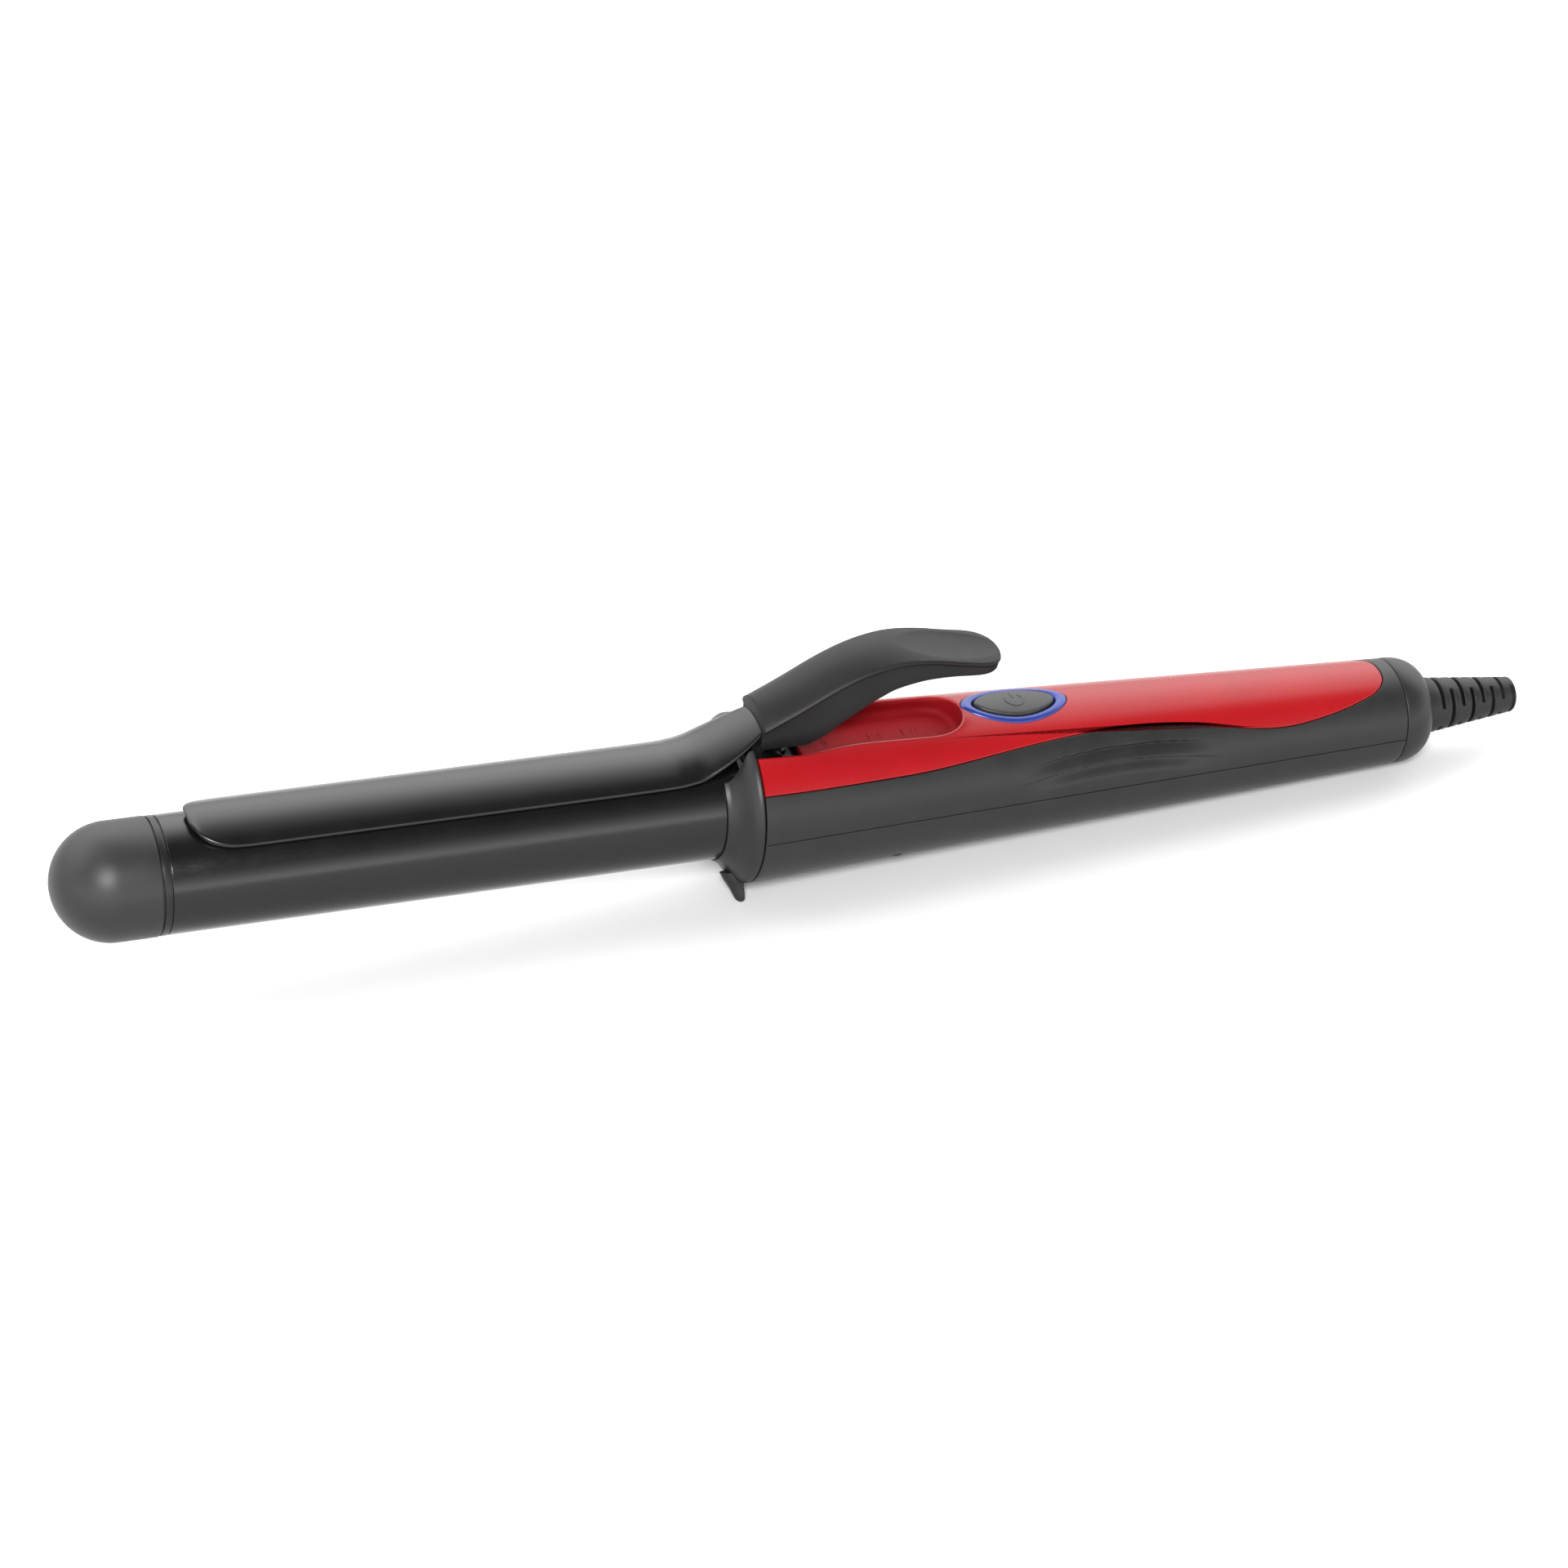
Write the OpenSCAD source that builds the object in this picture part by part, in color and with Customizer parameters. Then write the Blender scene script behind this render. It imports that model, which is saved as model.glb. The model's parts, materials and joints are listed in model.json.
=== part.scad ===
// Curling iron with a spring clamp, a thumb lever and a swivel cord outlet.
// The long axis is X. The tip points to -X, the cord outlet to +X and the lever to +Z.
// The origin is the centre of the cord outlet's mouth. Lengths are millimetres.

/* [Barrel] */
// Outside diameter of the heated barrel
barrel_d = 25; // [24.6:0.1:25.2]
// Wall of the barrel tube
barrel_wall = 0.8; // [0.6:0.1:0.9]
// Barrel length from the tip ring to the handle seam
barrel_len = 126.3; // [124:0.1:140]
// Width of the ring between the barrel and the cool tip
tip_ring_w = 2; // [1.6:0.1:3]
// Straight length of the cool tip in front of the ring
tip_straight = 8.3; // [6:0.1:12]

/* [Handle] */
// Handle length from the collar seam to the end cap seam
handle_len = 157.2; // [155:0.1:160]
// Handle diameter at the collar
handle_d_front = 37.2; // [36.8:0.1:38]
// Handle diameter at the end cap
handle_d_rear = 24.1; // [23.8:0.1:25]
// Wall of the two handle shells
shell_wall = 2; // [1.9:0.1:2.1]
// Depth of the coloured panel set into the upper shell
panel_t = 1.2; // [1.1:0.1:1.2]
// Length of the rounded end cap
cap_len = 8.5; // [8.4:0.1:9.2]

/* [Clamp and lever] */
// Gap between the closed clamp and the barrel
clamp_gap = 0.6; // [0.4:0.1:0.8]
// Thickness of the clamp sheet
clamp_t = 1.2; // [1:0.1:1.3]
// Distance of the clamp's free end from the handle seam
clamp_reach = 121.1; // [110:0.1:122]
// Half width of the thumb lever's top plate
lever_half_w = 7; // [6.8:0.1:7]
// Radius of the hinge pin
pin_r = 1.25; // [1.2:0.05:1.3]

/* [Power button] */
// Distance of the button's centre from the handle seam
button_x = 63.3; // [62.8:0.1:63.8]
// Travel of the button
button_travel = 0.8; // [0.5:0.1:0.8]

/* [Cord outlet] */
// Length of the strain relief that shows behind the end cap
relief_len = 24.3; // [23:0.1:24.5]
// Radius of the cord's bore
cord_r = 3; // [2.8:0.1:3.1]

/* [Hidden] */
$fn = 72;

barrel_r = barrel_d / 2;
tube_bore_r = barrel_r - barrel_wall;
ring_x = -barrel_len - tip_ring_w;
dome_x = ring_x - tip_straight;
dome_r = barrel_r + 0.1;
front_r = handle_d_front / 2;
rear_r = handle_d_rear / 2;
relief_x = handle_len + cap_len;
mouth_x = relief_x + relief_len;
seam_gap = 0.15;
fit_gap = 0.1;
big = 60;

// Heater
heater_x0 = -112;
heater_x1 = -24;
shoe_r = tube_bore_r - 0.3;
shoe_z = 2.3;
tablet_l = 18;
tablet_pitch = 21;
tablet_count = 4;
lead_r = 0.9;
lead_y = 3.2;

// Holder, collar and rest feet
holder_x = 13;
holder_r = 9.4;
holder_top_z = 8;
barrel_end_x = -2;
collar_front_x = -6.4;
collar_bore_r = barrel_r + 0.1;
notch_edge = [[-20, 8.4], [-2.9, 8], [-1.3, 7.15], [5, 7.15]];
closed_notch = concat(notch_edge, [for (i = [3 : -1 : 0]) [notch_edge[i][0], -notch_edge[i][1]]]);
foot_angle = 28;
barrel_screw_x = -4.2;

// Hinge
pivot_x = 5;
pivot_z = 12.5;
knuckle_r = 3;
knuckle_half_w = 3;
ear_in = 5.2;
ear_out = 6.4;

// Board, screws and swivel
board_x0 = 50;
board_x1 = 108;
board_z = 1.4;
board_t = 1.6;
board_top = board_z + board_t;
stem_z = 11.5;
switch_pit_z = 5;
shell_screw_at = [[34, 9], [34, -9], [124, 0]];
board_screw_at = [[53, 7.9], [105, -7.9]];
bracket_screw_x = 9.8;
bracket_screw_y = 2.4;
supply_y = 4.6;
neck_r = 6.4;
neck_x = 162.6;
front_ring_r = 5;
rear_ring_r = 6;

// Half widths of the panel seen from above, from the collar to its round rear end
panel_edge = [
    [0, 15.3], [12, 14.9], [26, 14.25], [39, 13.5], [52, 12.2], [65, 10.7], [78, 9.5],
    [91, 9.1], [104, 9.65], [116, 10.85], [127, 11], [138, 9.75], [146, 8], [150.6, 6.3],
    [152.8, 4], [153.4, 1.5], [153.4, 0]
];
// Half widths of the lever's recess in the panel
recess_edge = [
    [-1, 8.8], [6, 8.8], [12, 8.7], [17, 8.1], [22, 7.5], [28, 7.3], [36, 7.3], [43, 7.2],
    [46.8, 6.2], [49, 4.4], [50, 2], [50.2, 0]
];
recess_floor_x = 13;
recess_floor_z = 11.5;

// Height of the clamp sheet's top line along the iron
clamp_line = [
    [-clamp_reach, 0.45], [-clamp_reach + 1.2, 0.15], [-clamp_reach + 3, 0], [-110, 0], [-80, 0],
    [-50, 0], [-28, 0], [-18, 0.05], [-14.5, 0.3], [-11, 0.95], [-7, 2.6], [-3, 4.4], [1, 6.3],
    [6, 8.8], [12, 12], [18, 15.2]
];
// Half width of the clamp sheet along the iron
clamp_width = [
    [-clamp_reach, 2.6], [-clamp_reach + 0.5, 3.9], [-clamp_reach + 1.8, 5.9],
    [-clamp_reach + 3.7, 7.35], [-clamp_reach + 6.2, 8.3], [-clamp_reach + 9, 8.7],
    [-clamp_reach + 14, 8.8], [-95, 8.8], [-60, 8.8], [-28, 8.8], [-14, 8.7], [-9, 8.4],
    [-5, 7.8], [-2, 7.05], [1, 5.9], [3, 5.2], [6, 4.6], [12, 4.6], [18, 4.6]
];

// Height of the lever's rim, its web's lower edge and its crown along the iron
rim_line = [
    [2.4, 21.8], [8, 24.7], [12.5, 27.2], [16, 29.2], [20, 31.2], [24, 32.8], [28, 33.9],
    [32, 34.5], [36, 34.5], [41, 33.9], [46, 32.9], [51, 32], [55, 31.4], [57.4, 31.1]
];
web_line = [
    [2.4, 16], [8, 15.9], [12.3, 16], [16.3, 17.7], [19.6, 20.2], [23.5, 22.8], [26.3, 24.6],
    [28.5, 25.8], [31.9, 27.4], [37.8, 28.6], [43.8, 28.8], [49.9, 28.4], [54, 28.2], [57.4, 28.3]
];
crown_line = [[2.4, 2.9], [10, 2.5], [20, 1.9], [30, 1.1], [40, 0.5], [57.4, 0.4]];
lever_x0 = 2.4;
lever_x1 = 57.4;
nose_r = 7.4;
plate_t = 1.6;
web_inset = 0.8;
web_wall = 1.4;
tail_gap = 0.12;
channel_end = 44;

// Outer radius of the handle at x
function handle_r(x) = front_r + (rear_r - front_r) * x / handle_len;

// Smooth curve through the points p, with n steps to a stretch
function spline(p, n) = concat(
    [for (i = [0 : len(p) - 2], k = [0 : n - 1]) spline_point(
        p[max(i - 1, 0)], p[i], p[i + 1], p[min(i + 2, len(p) - 1)], k / n)],
    [p[len(p) - 1]]);

function spline_point(a, b, c, d, t) = 0.5 * (2 * b + (c - a) * t
    + (2 * a - 5 * b + 4 * c - d) * t * t + (3 * b - a - 3 * c + d) * t * t * t);

// Outline mirrored about the x axis, with its edge moved out by g
function closed_outline(p, g) =
    let (half = [for (q = p)
        [q[0] + g * max(0, 1 - q[1] / 6), q[1] < 0.01 ? 0 : q[1] + g * min(1, q[1] / 3)]])
    concat(half, [for (i = [len(half) - 2 : -1 : 0]) [half[i][0], -half[i][1]]]);

// Value at x of the polyline p
function at(p, x) = lookup(x, p);

// Solid of revolution about the long axis from [x, radius] points
module turned(points) {
    rotate([0, 90, 0])
        rotate_extrude()
            polygon([for (p = points) [p[1], p[0]]]);
}

module rod(x0, x1, r) {
    translate([x0, 0, 0])
        rotate([0, 90, 0])
            cylinder(h = x1 - x0, r = r);
}

// Handle cone between x0 and x1, with its surface sunk by d
module handle_cone(x0, x1, d) {
    turned([[x0, 0], [x0, handle_r(x0) - d], [x1, handle_r(x1) - d], [x1, 0]]);
}

module handle_shell(x0, x1, outer_d, inner_d) {
    difference() {
        handle_cone(x0, x1, outer_d);
        handle_cone(x0 - 1, x1 + 1, inner_d);
    }
}

// Upright prism with an outline seen from above
module plan_prism(outline, z0, z1) {
    translate([0, 0, z0])
        linear_extrude(z1 - z0)
            polygon(outline);
}

module box(x0, x1, y0, y1, z0, z1) {
    translate([x0, y0, z0])
        cube([x1 - x0, y1 - y0, z1 - z0]);
}

module post(at_xy, z0, z1, r) {
    translate([at_xy[0], at_xy[1], z0])
        cylinder(h = z1 - z0, r = r);
}

module pivot_rod(half_w, r) {
    translate([pivot_x, half_w, pivot_z])
        rotate([90, 0, 0])
            cylinder(h = 2 * half_w, r = r);
}

// Skin through rings of points, with flat ends
module loft(rings) {
    n = len(rings[0]);
    m = len(rings);
    polyhedron(
        points = [for (ring = rings, p = ring) p],
        faces = concat(
            [[for (i = [n - 1 : -1 : 0]) i]],
            [for (j = [0 : m - 2], i = [0 : n - 1]) [j * n + i, j * n + (i + 1) % n, (j + 1) * n + i]],
            [for (j = [0 : m - 2], i = [0 : n - 1])
                [j * n + (i + 1) % n, (j + 1) * n + (i + 1) % n, (j + 1) * n + i]],
            [[for (i = [0 : n - 1]) (m - 1) * n + i]]));
}

// Wire of radius r along a path that never runs along Y
module wire(path, r, sides) {
    last = len(path) - 1;
    loft([for (i = [0 : last])
        let (
            raw = path[min(i + 1, last)] - path[max(i - 1, 0)],
            t = raw / norm(raw),
            side_raw = cross(t, [0, 1, 0]),
            u = side_raw / norm(side_raw),
            v = cross(t, u))
        [for (k = [0 : sides - 1])
            path[i] + r * (cos(360 * k / sides) * u + sin(360 * k / sides) * v)]]);
}

module at_seam(colour) {
    color(colour)
        translate([-mouth_x, 0, 0])
            children();
}

// Eye shape with half length a and half width b
function eye(a, b) = [for (t = [0 : 6 : 354])
    [button_x + a * sign(cos(t)) * pow(abs(cos(t)), 1.08), b * sign(sin(t)) * pow(abs(sin(t)), 1.12)]];

// ---- Barrel and heater ----

module tip_cap() {
    spigot_end = ring_x + 12;
    at_seam("#1c1c1e")
        difference() {
            union() {
                translate([dome_x, 0, 0])
                    rotate([0, 90, 0])
                        sphere(r = dome_r);
                rod(dome_x, ring_x, dome_r);
                rod(ring_x - 1, spigot_end, tube_bore_r - 0.15);
            }
            translate([dome_x, 0, 0])
                rotate([0, 90, 0])
                    sphere(r = dome_r - 2.4);
            rod(dome_x, spigot_end + 1, dome_r - 3);
        }
}

module tip_ring() {
    groove_w = 0.3;
    groove_r = barrel_r - 0.4;
    at_seam("#111113")
        turned([
            [ring_x, tube_bore_r - 0.1], [ring_x, groove_r], [ring_x + groove_w, groove_r],
            [ring_x + groove_w, barrel_r], [-barrel_len - groove_w, barrel_r],
            [-barrel_len - groove_w, groove_r], [-barrel_len, groove_r],
            [-barrel_len, tube_bore_r - 0.1]
        ]);
}

module barrel_tube() {
    at_seam("#08080a")
        difference() {
            rod(-barrel_len, barrel_end_x, barrel_r);
            rod(-barrel_len - 1, barrel_end_x + 1, tube_bore_r);
            translate([barrel_screw_x, big / 2, 0])
                rotate([90, 0, 0])
                    cylinder(h = big, r = 2);
        }
}

module heater_shoe(side) {
    at_seam("#b9bcc0")
        intersection() {
            rod(heater_x0, heater_x1, shoe_r);
            mirror([0, 0, side])
                box(heater_x0, heater_x1, -big, big, shoe_z, big);
        }
}

module heater_shoe_upper() {
    heater_shoe(0);
}

module heater_shoe_lower() {
    heater_shoe(1);
}

module ptc_tablets() {
    at_seam("#5b5f66")
        for (i = [0 : tablet_count - 1])
            translate([heater_x0 + 3 + i * tablet_pitch, 0, 0])
                box(0, tablet_l, -6, 6, -1.2, 1.2);
}

module electrode_strips() {
    at_seam("#c9a353")
        for (s = [-1, 1])
            translate([0, 0, 1.45 * s])
                box(heater_x0 + 1, heater_x1 + 5, -5, 5, -0.15, 0.15);
}

module insulation_films() {
    at_seam("#c8872b")
        for (s = [-1, 1])
            translate([0, 0, 2 * s])
                box(heater_x0 + 0.5, heater_x1 - 0.5, -8, 8, -0.1, 0.1);
}

module thermal_fuse() {
    fuse_x = heater_x1 + 2;
    at_seam("#d8d4c8") {
        translate([0, 0, -6])
            rod(fuse_x, fuse_x + 11, 1.7);
        translate([0, 0, -6])
            rod(fuse_x + 11, fuse_x + 13, 0.4);
    }
}

module heater_leads() {
    turn_x = board_x0 + 6;
    at_seam("#d9d9d6")
        for (s = [-1, 1])
            translate([0, s * lead_y, 0]) {
                rod(heater_x1 + 6, turn_x, lead_r);
                translate([turn_x, 0, 0])
                    sphere(r = lead_r);
                post([turn_x, 0], 0, board_z, lead_r);
            }
}

module barrel_holder() {
    flange_r = front_r - shell_wall - 0.5;
    at_seam("#8f8a7c")
        difference() {
            union() {
                rod(-16, barrel_end_x, tube_bore_r - 0.2);
                intersection() {
                    rod(barrel_end_x - 1, holder_x, holder_r);
                    box(-big, big, -big, big, -big, holder_top_z);
                }
                intersection() {
                    rod(2.5, 5, flange_r);
                    box(0, big, -big, big, -big, -1);
                }
            }
            rod(-17, -7, tube_bore_r - 2.2);
            for (s = [-1, 1])
                translate([0, s * lead_y, 0])
                    rod(-8, holder_x + 1, lead_r + 0.2);
            translate([barrel_screw_x, big / 2, 0])
                rotate([90, 0, 0])
                    cylinder(h = big, r = 1.15);
            for (s = [-1, 1])
                post([bracket_screw_x, s * bracket_screw_y], 3, big, 1.05);
        }
}

module barrel_screws() {
    at_seam("#a7a9ac")
        for (s = [0, 1])
            mirror([0, s, 0])
                translate([barrel_screw_x, 0, 0])
                    rotate([-90, 0, 0]) {
                        translate([0, 0, 8])
                            cylinder(h = 4, r = 1.1);
                        translate([0, 0, tube_bore_r])
                            cylinder(h = 0.6, r = 1.9);
                    }
}

// ---- Collar, hinge and clamp ----

module rest_foot() {
    foot_h = 5.35;
    foot_lean = 13;
    tip_r = 1.15;
    translate([-2.2, 0, -16.4])
        rotate([0, 180 - foot_lean, 0]) {
            cylinder(h = foot_h, r1 = 2, r2 = tip_r);
            translate([0, 0, foot_h])
                sphere(r = tip_r);
        }
}

module collar() {
    at_seam("#232426")
        union() {
            difference() {
                turned([
                    [collar_front_x, collar_bore_r], [collar_front_x, barrel_r + 0.4],
                    [-5.6, 13.3], [-4.6, 14.1], [-3.6, 15.4], [-2.8, 16.6], [-2, 17.7],
                    [-1.2, 18.35], [-0.5, front_r], [0, front_r], [0, holder_r + 0.2],
                    [barrel_end_x + fit_gap, holder_r + 0.2], [barrel_end_x + fit_gap, collar_bore_r]
                ]);
                plan_prism(closed_notch, holder_r + 0.8, big);
            }
            for (s = [-1, 1])
                rotate([s * foot_angle, 0, 0])
                    rest_foot();
        }
}

module hinge_bracket() {
    base_z = holder_top_z;
    ear_top = pivot_z;
    at_seam("#9a9ca0")
        difference() {
            union() {
                box(1.2, 12.4, -ear_out, ear_out, base_z, base_z + 1.2);
                for (s = [0, 1])
                    mirror([0, s, 0]) {
                        box(pivot_x - 2.6, pivot_x + 2.6, ear_in, ear_out, base_z, ear_top);
                        translate([pivot_x, ear_out, pivot_z])
                            rotate([90, 0, 0])
                                cylinder(h = ear_out - ear_in, r = 2.6);
                    }
            }
            pivot_rod(big, pin_r + 0.02);
            for (s = [-1, 1])
                post([bracket_screw_x, s * bracket_screw_y], 0, big, 1.3);
        }
}

module bracket_screws() {
    at_seam("#b4b6b9")
        for (s = [-1, 1]) {
            post([bracket_screw_x, s * bracket_screw_y], 4, holder_top_z + 1.2, 1);
            post([bracket_screw_x, s * bracket_screw_y], holder_top_z + 1.2, holder_top_z + 2.2, 1.6);
        }
}

module hinge_pin() {
    at_seam("#c4c6c9") {
        pivot_rod(ear_out + 0.6, pin_r);
        for (s = [0, 1])
            mirror([0, s, 0])
                translate([pivot_x, ear_out + 1.1, pivot_z])
                    rotate([90, 0, 0])
                        cylinder(h = 0.8, r = 1.9);
    }
}

module torsion_spring() {
    coil_r = 1.95;
    wire_r = 0.32;
    coil_y0 = 3.45;
    coil_y1 = 4.8;
    start_angle = 75;
    end_angle = 630;
    steps = 26;
    coil = [for (i = [0 : steps])
        let (a = start_angle + (end_angle - start_angle) * i / steps)
        [pivot_x + coil_r * cos(a), coil_y0 + (coil_y1 - coil_y0) * i / steps,
            pivot_z + coil_r * sin(a)]];
    lever_leg = [[pivot_x + 2.8, coil_y0, pivot_z + 3.6], [pivot_x + 1.6, coil_y0, pivot_z + 2.4]];
    base_leg = [[pivot_x + 4.4, coil_y1, pivot_z - coil_r - 0.3],
        [pivot_x + 6.6, coil_y1, holder_top_z + 1.2 + wire_r + 0.1]];
    at_seam("#a9abad")
        wire(concat(lever_leg, coil, base_leg), wire_r, 8);
}

function clamp_z(x) = barrel_r + clamp_gap + clamp_t + at(clamp_curve, x);
clamp_curve = spline(clamp_line, 4);
clamp_width_curve = spline(clamp_width, 4);

// Cross section of the clamp sheet at x, an arc bent about the barrel's radius
function clamp_ring(x) =
    let (
        bend_r = barrel_r + clamp_gap + clamp_t,
        inner = bend_r - clamp_t,
        a = asin(at(clamp_width_curve, x) / bend_r),
        steps = 10)
    concat(
        [for (i = [0 : steps]) let (p = a * (2 * i / steps - 1))
            [x, bend_r * sin(p), clamp_z(x) - bend_r + bend_r * cos(p)]],
        [for (i = [steps : -1 : 0]) let (p = a * (2 * i / steps - 1))
            [x, inner * sin(p), clamp_z(x) - bend_r + inner * cos(p)]]);

// Stations along the clamp sheet, dense where it bends or narrows
clamp_front_steps = [0, 0.4, 0.9, 1.6, 2.6, 3.8, 5.4, 7.2, 9.5, 14, 20];
clamp_tail_end = 18;
clamp_arm_stations = [-80, -55, -30, -20, -16, -13.5, -11.5, -9.5, -7.5, -5.5, -3.5, -1.5, 0.5];
clamp_tail_stations = [2.5, 5, 8, 12, clamp_tail_end];
clamp_stations = concat([for (d = clamp_front_steps) d - clamp_reach],
    clamp_arm_stations, clamp_tail_stations);

lever_screw_at = [12.4, 16.4];

// Axes of the two screws that hold the clamp in the lever, square to the sheet
module on_lever_screws() {
    for (x = lever_screw_at)
        translate([x, 0, clamp_z(x)])
            rotate([0, -28, 0])
                children();
}

module clamp_plate() {
    at_seam("#101012")
        difference() {
            loft([for (x = clamp_stations) clamp_ring(x)]);
            on_lever_screws()
                translate([0, 0, -4])
                    cylinder(h = 8, r = 1.2);
        }
}

rim_curve = spline(rim_line, 4);
web_curve = spline(web_line, 4);
crown_curve = spline(crown_line, 4);

// Half width of the lever's top plate at x, with its round nose
function lever_w(x) =
    let (d = x - (lever_x1 - nose_r))
    d < 0 ? lever_half_w : lever_half_w * pow(max(1 - pow(d / nose_r, 2.5), 0.01), 0.4);

// Height of the lever's ceiling over its open channel at x: it clears the clamp sheet's tail,
// drops to the plate's underside behind it, and closes down to the web's edge near the nose
function lever_ceiling(x) =
    x < clamp_tail_end + 0.4 ? clamp_z(x) + tail_gap
    : x < channel_end ? at(rim_curve, x) - plate_t
    : at(web_curve, x) + 0.1;

// Drop of the ceiling at half width y, where it follows the bent sheet
function ceiling_drop(x, y) =
    let (bend_r = barrel_r + clamp_gap + clamp_t + tail_gap)
    x < clamp_tail_end + 0.4 ? bend_r - sqrt(bend_r * bend_r - y * y) : 0;

// Cross section of the lever at x: a crowned plate with a rim over two web walls
function lever_ring(x) =
    let (
        w = lever_w(x),
        z = at(rim_curve, x),
        low = at(web_curve, x),
        c = at(crown_curve, x) * w / lever_half_w,
        web_out = w - web_inset,
        web_in = x < channel_end
            ? max(web_out - web_wall, at(clamp_width_curve, min(x, 6)) + 0.15)
            : web_out * 0.6,
        top_steps = 10,
        low_steps = 6)
    concat(
        [for (i = [0 : top_steps]) let (u = 2 * i / top_steps - 1) [x, w * u, z + c * (1 - u * u)]],
        [[x, w, z - plate_t * 0.6], [x, web_out, z - plate_t], [x, web_out, low], [x, web_in, low]],
        [for (i = [0 : low_steps]) let (y = web_in * (1 - 2 * i / low_steps))
            [x, y, lever_ceiling(x) - ceiling_drop(x, y)]],
        [[x, -web_in, low], [x, -web_out, low], [x, -web_out, z - plate_t],
            [x, -w, z - plate_t * 0.6]]);

module thumb_lever() {
    nose_x = lever_x1 - nose_r;
    stations = concat(
        [for (x = [lever_x0 : 1.6 : 18]) x],
        [clamp_tail_end + 0.39, clamp_tail_end + 0.8],
        [for (x = [20.5 : 2 : 42]) x],
        [channel_end - 0.5, channel_end + 0.5, 46, 48.5],
        [for (a = [0, 9, 18, 27, 36, 45, 54, 63, 72, 81, 87]) nose_x + nose_r * sin(a)]);
    block_top = 19;
    at_seam("#2b2c2e")
        difference() {
            union() {
                loft([for (x = stations) lever_ring(x)]);
                // Knuckle round the hinge pin, and the block that ties it to the web
                pivot_rod(knuckle_half_w, knuckle_r);
                box(pivot_x - 2, pivot_x + 3, -knuckle_half_w, knuckle_half_w, pivot_z, block_top);
                box(pivot_x - 2, pivot_x + 3, -5.8, 5.8, 16.6, block_top);
            }
            pivot_rod(big, pin_r + 0.05);
            on_lever_screws()
                translate([0, 0, -4])
                    cylinder(h = 5.6, r = 1.02);
        }
}

module lever_screws() {
    at_seam("#b4b6b9")
        on_lever_screws() {
            translate([0, 0, -clamp_t - fit_gap])
                cylinder(h = 2.6, r = 1);
            translate([0, 0, -clamp_t - 1.3])
                cylinder(h = 1.2, r = 2);
        }
}

// ---- Handle ----

// Narrow groove that marks the parting line of the two shells
module parting_groove() {
    intersection() {
        handle_shell(-1, handle_len + 1, -1, 0.6);
        box(-1, handle_len + 1, -big, big, -0.16, 0.16);
    }
}

panel_curve = spline(panel_edge, 4);
recess_curve = spline(recess_edge, 3);

module upper_shell() {
    at_seam("#2e2f31")
        difference() {
            union() {
                intersection() {
                    handle_shell(seam_gap, handle_len, 0, shell_wall);
                    box(-1, handle_len + 1, -big, big, 0.05, big);
                }
                for (i = [0, 1])
                    post(shell_screw_at[i], 0.05, 9.9, 2.7);
                post([124, 0], 0.05, handle_r(124) - shell_wall + 0.4, 3);
            }
            intersection() {
                handle_shell(-1, handle_len, -1, panel_t + fit_gap);
                plan_prism(closed_outline(panel_curve, fit_gap), 0, big);
            }
            plan_prism(closed_outline(recess_curve, 1.35), 5, big);
            plan_prism(eye(13.2, 7), 5, big);
            for (p = shell_screw_at)
                post(p, -1, 8.2, 1.25);
            parting_groove();
        }
}

module lower_shell() {
    at_seam("#2a2b2d")
        difference() {
            union() {
                intersection() {
                    handle_shell(seam_gap, handle_len, 0, shell_wall);
                    box(-1, handle_len + 1, -big, big, -big, -0.05);
                }
                // Ribs each side of the holder's flange
                intersection() {
                    union() {
                        handle_shell(1.2, 2.4, 1, 4);
                        handle_shell(5.1, 6.3, 1, 4);
                    }
                    box(0, 10, -big, big, -big, -1.2);
                }
                intersection() {
                    handle_cone(seam_gap, handle_len, 1);
                    union() {
                        for (p = shell_screw_at)
                            post(p, -big, -0.05, 3.4);
                        for (p = board_screw_at)
                            post(p, -big, -0.05, 2.1);
                    }
                }
                for (p = board_screw_at)
                    post(p, -2, board_z, 2.1);
            }
            for (p = shell_screw_at) {
                post(p, -big, 1, 1.5);
                post(p, -big, -7, 2.5);
            }
            for (p = board_screw_at)
                post(p, -6, big, 1.05);
            parting_groove();
        }
}

module shell_screws() {
    at_seam("#8b8d90")
        for (p = shell_screw_at)
            difference() {
                union() {
                    post(p, -7, 6.5, 1.2);
                    post(p, -8.6, -7, 2.3);
                }
                translate([p[0], p[1], -8.8]) {
                    translate([-1.4, -0.25, 0])
                        cube([2.8, 0.5, 1]);
                    translate([-0.25, -1.4, 0])
                        cube([0.5, 2.8, 1]);
                }
            }
}

module top_panel() {
    at_seam("#a8191e")
        difference() {
            union() {
                intersection() {
                    handle_shell(seam_gap, handle_len, 0, panel_t);
                    plan_prism(closed_outline(panel_curve, 0), 0, big);
                }
                // Tub under the lever
                intersection() {
                    handle_cone(seam_gap, handle_len, 0.2);
                    plan_prism(closed_outline(recess_curve, 1.1), recess_floor_z - 1.2, big);
                }
            }
            plan_prism(closed_outline(recess_curve, 0), recess_floor_z, big);
            // Open well in front of the tub for the hinge
            intersection() {
                plan_prism(closed_outline(recess_curve, 0), 0, big);
                box(-2, recess_floor_x, -big, big, 0, big);
            }
            plan_prism(eye(12.7, 6.5), 5, big);
        }
}

module button_ring() {
    at_seam("#2337a8")
        difference() {
            intersection() {
                handle_cone(30, 100, -0.3);
                plan_prism(eye(12.6, 6.4), 12.9, big);
            }
            plan_prism(eye(9.9, 4.9), 5, big);
        }
}

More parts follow.
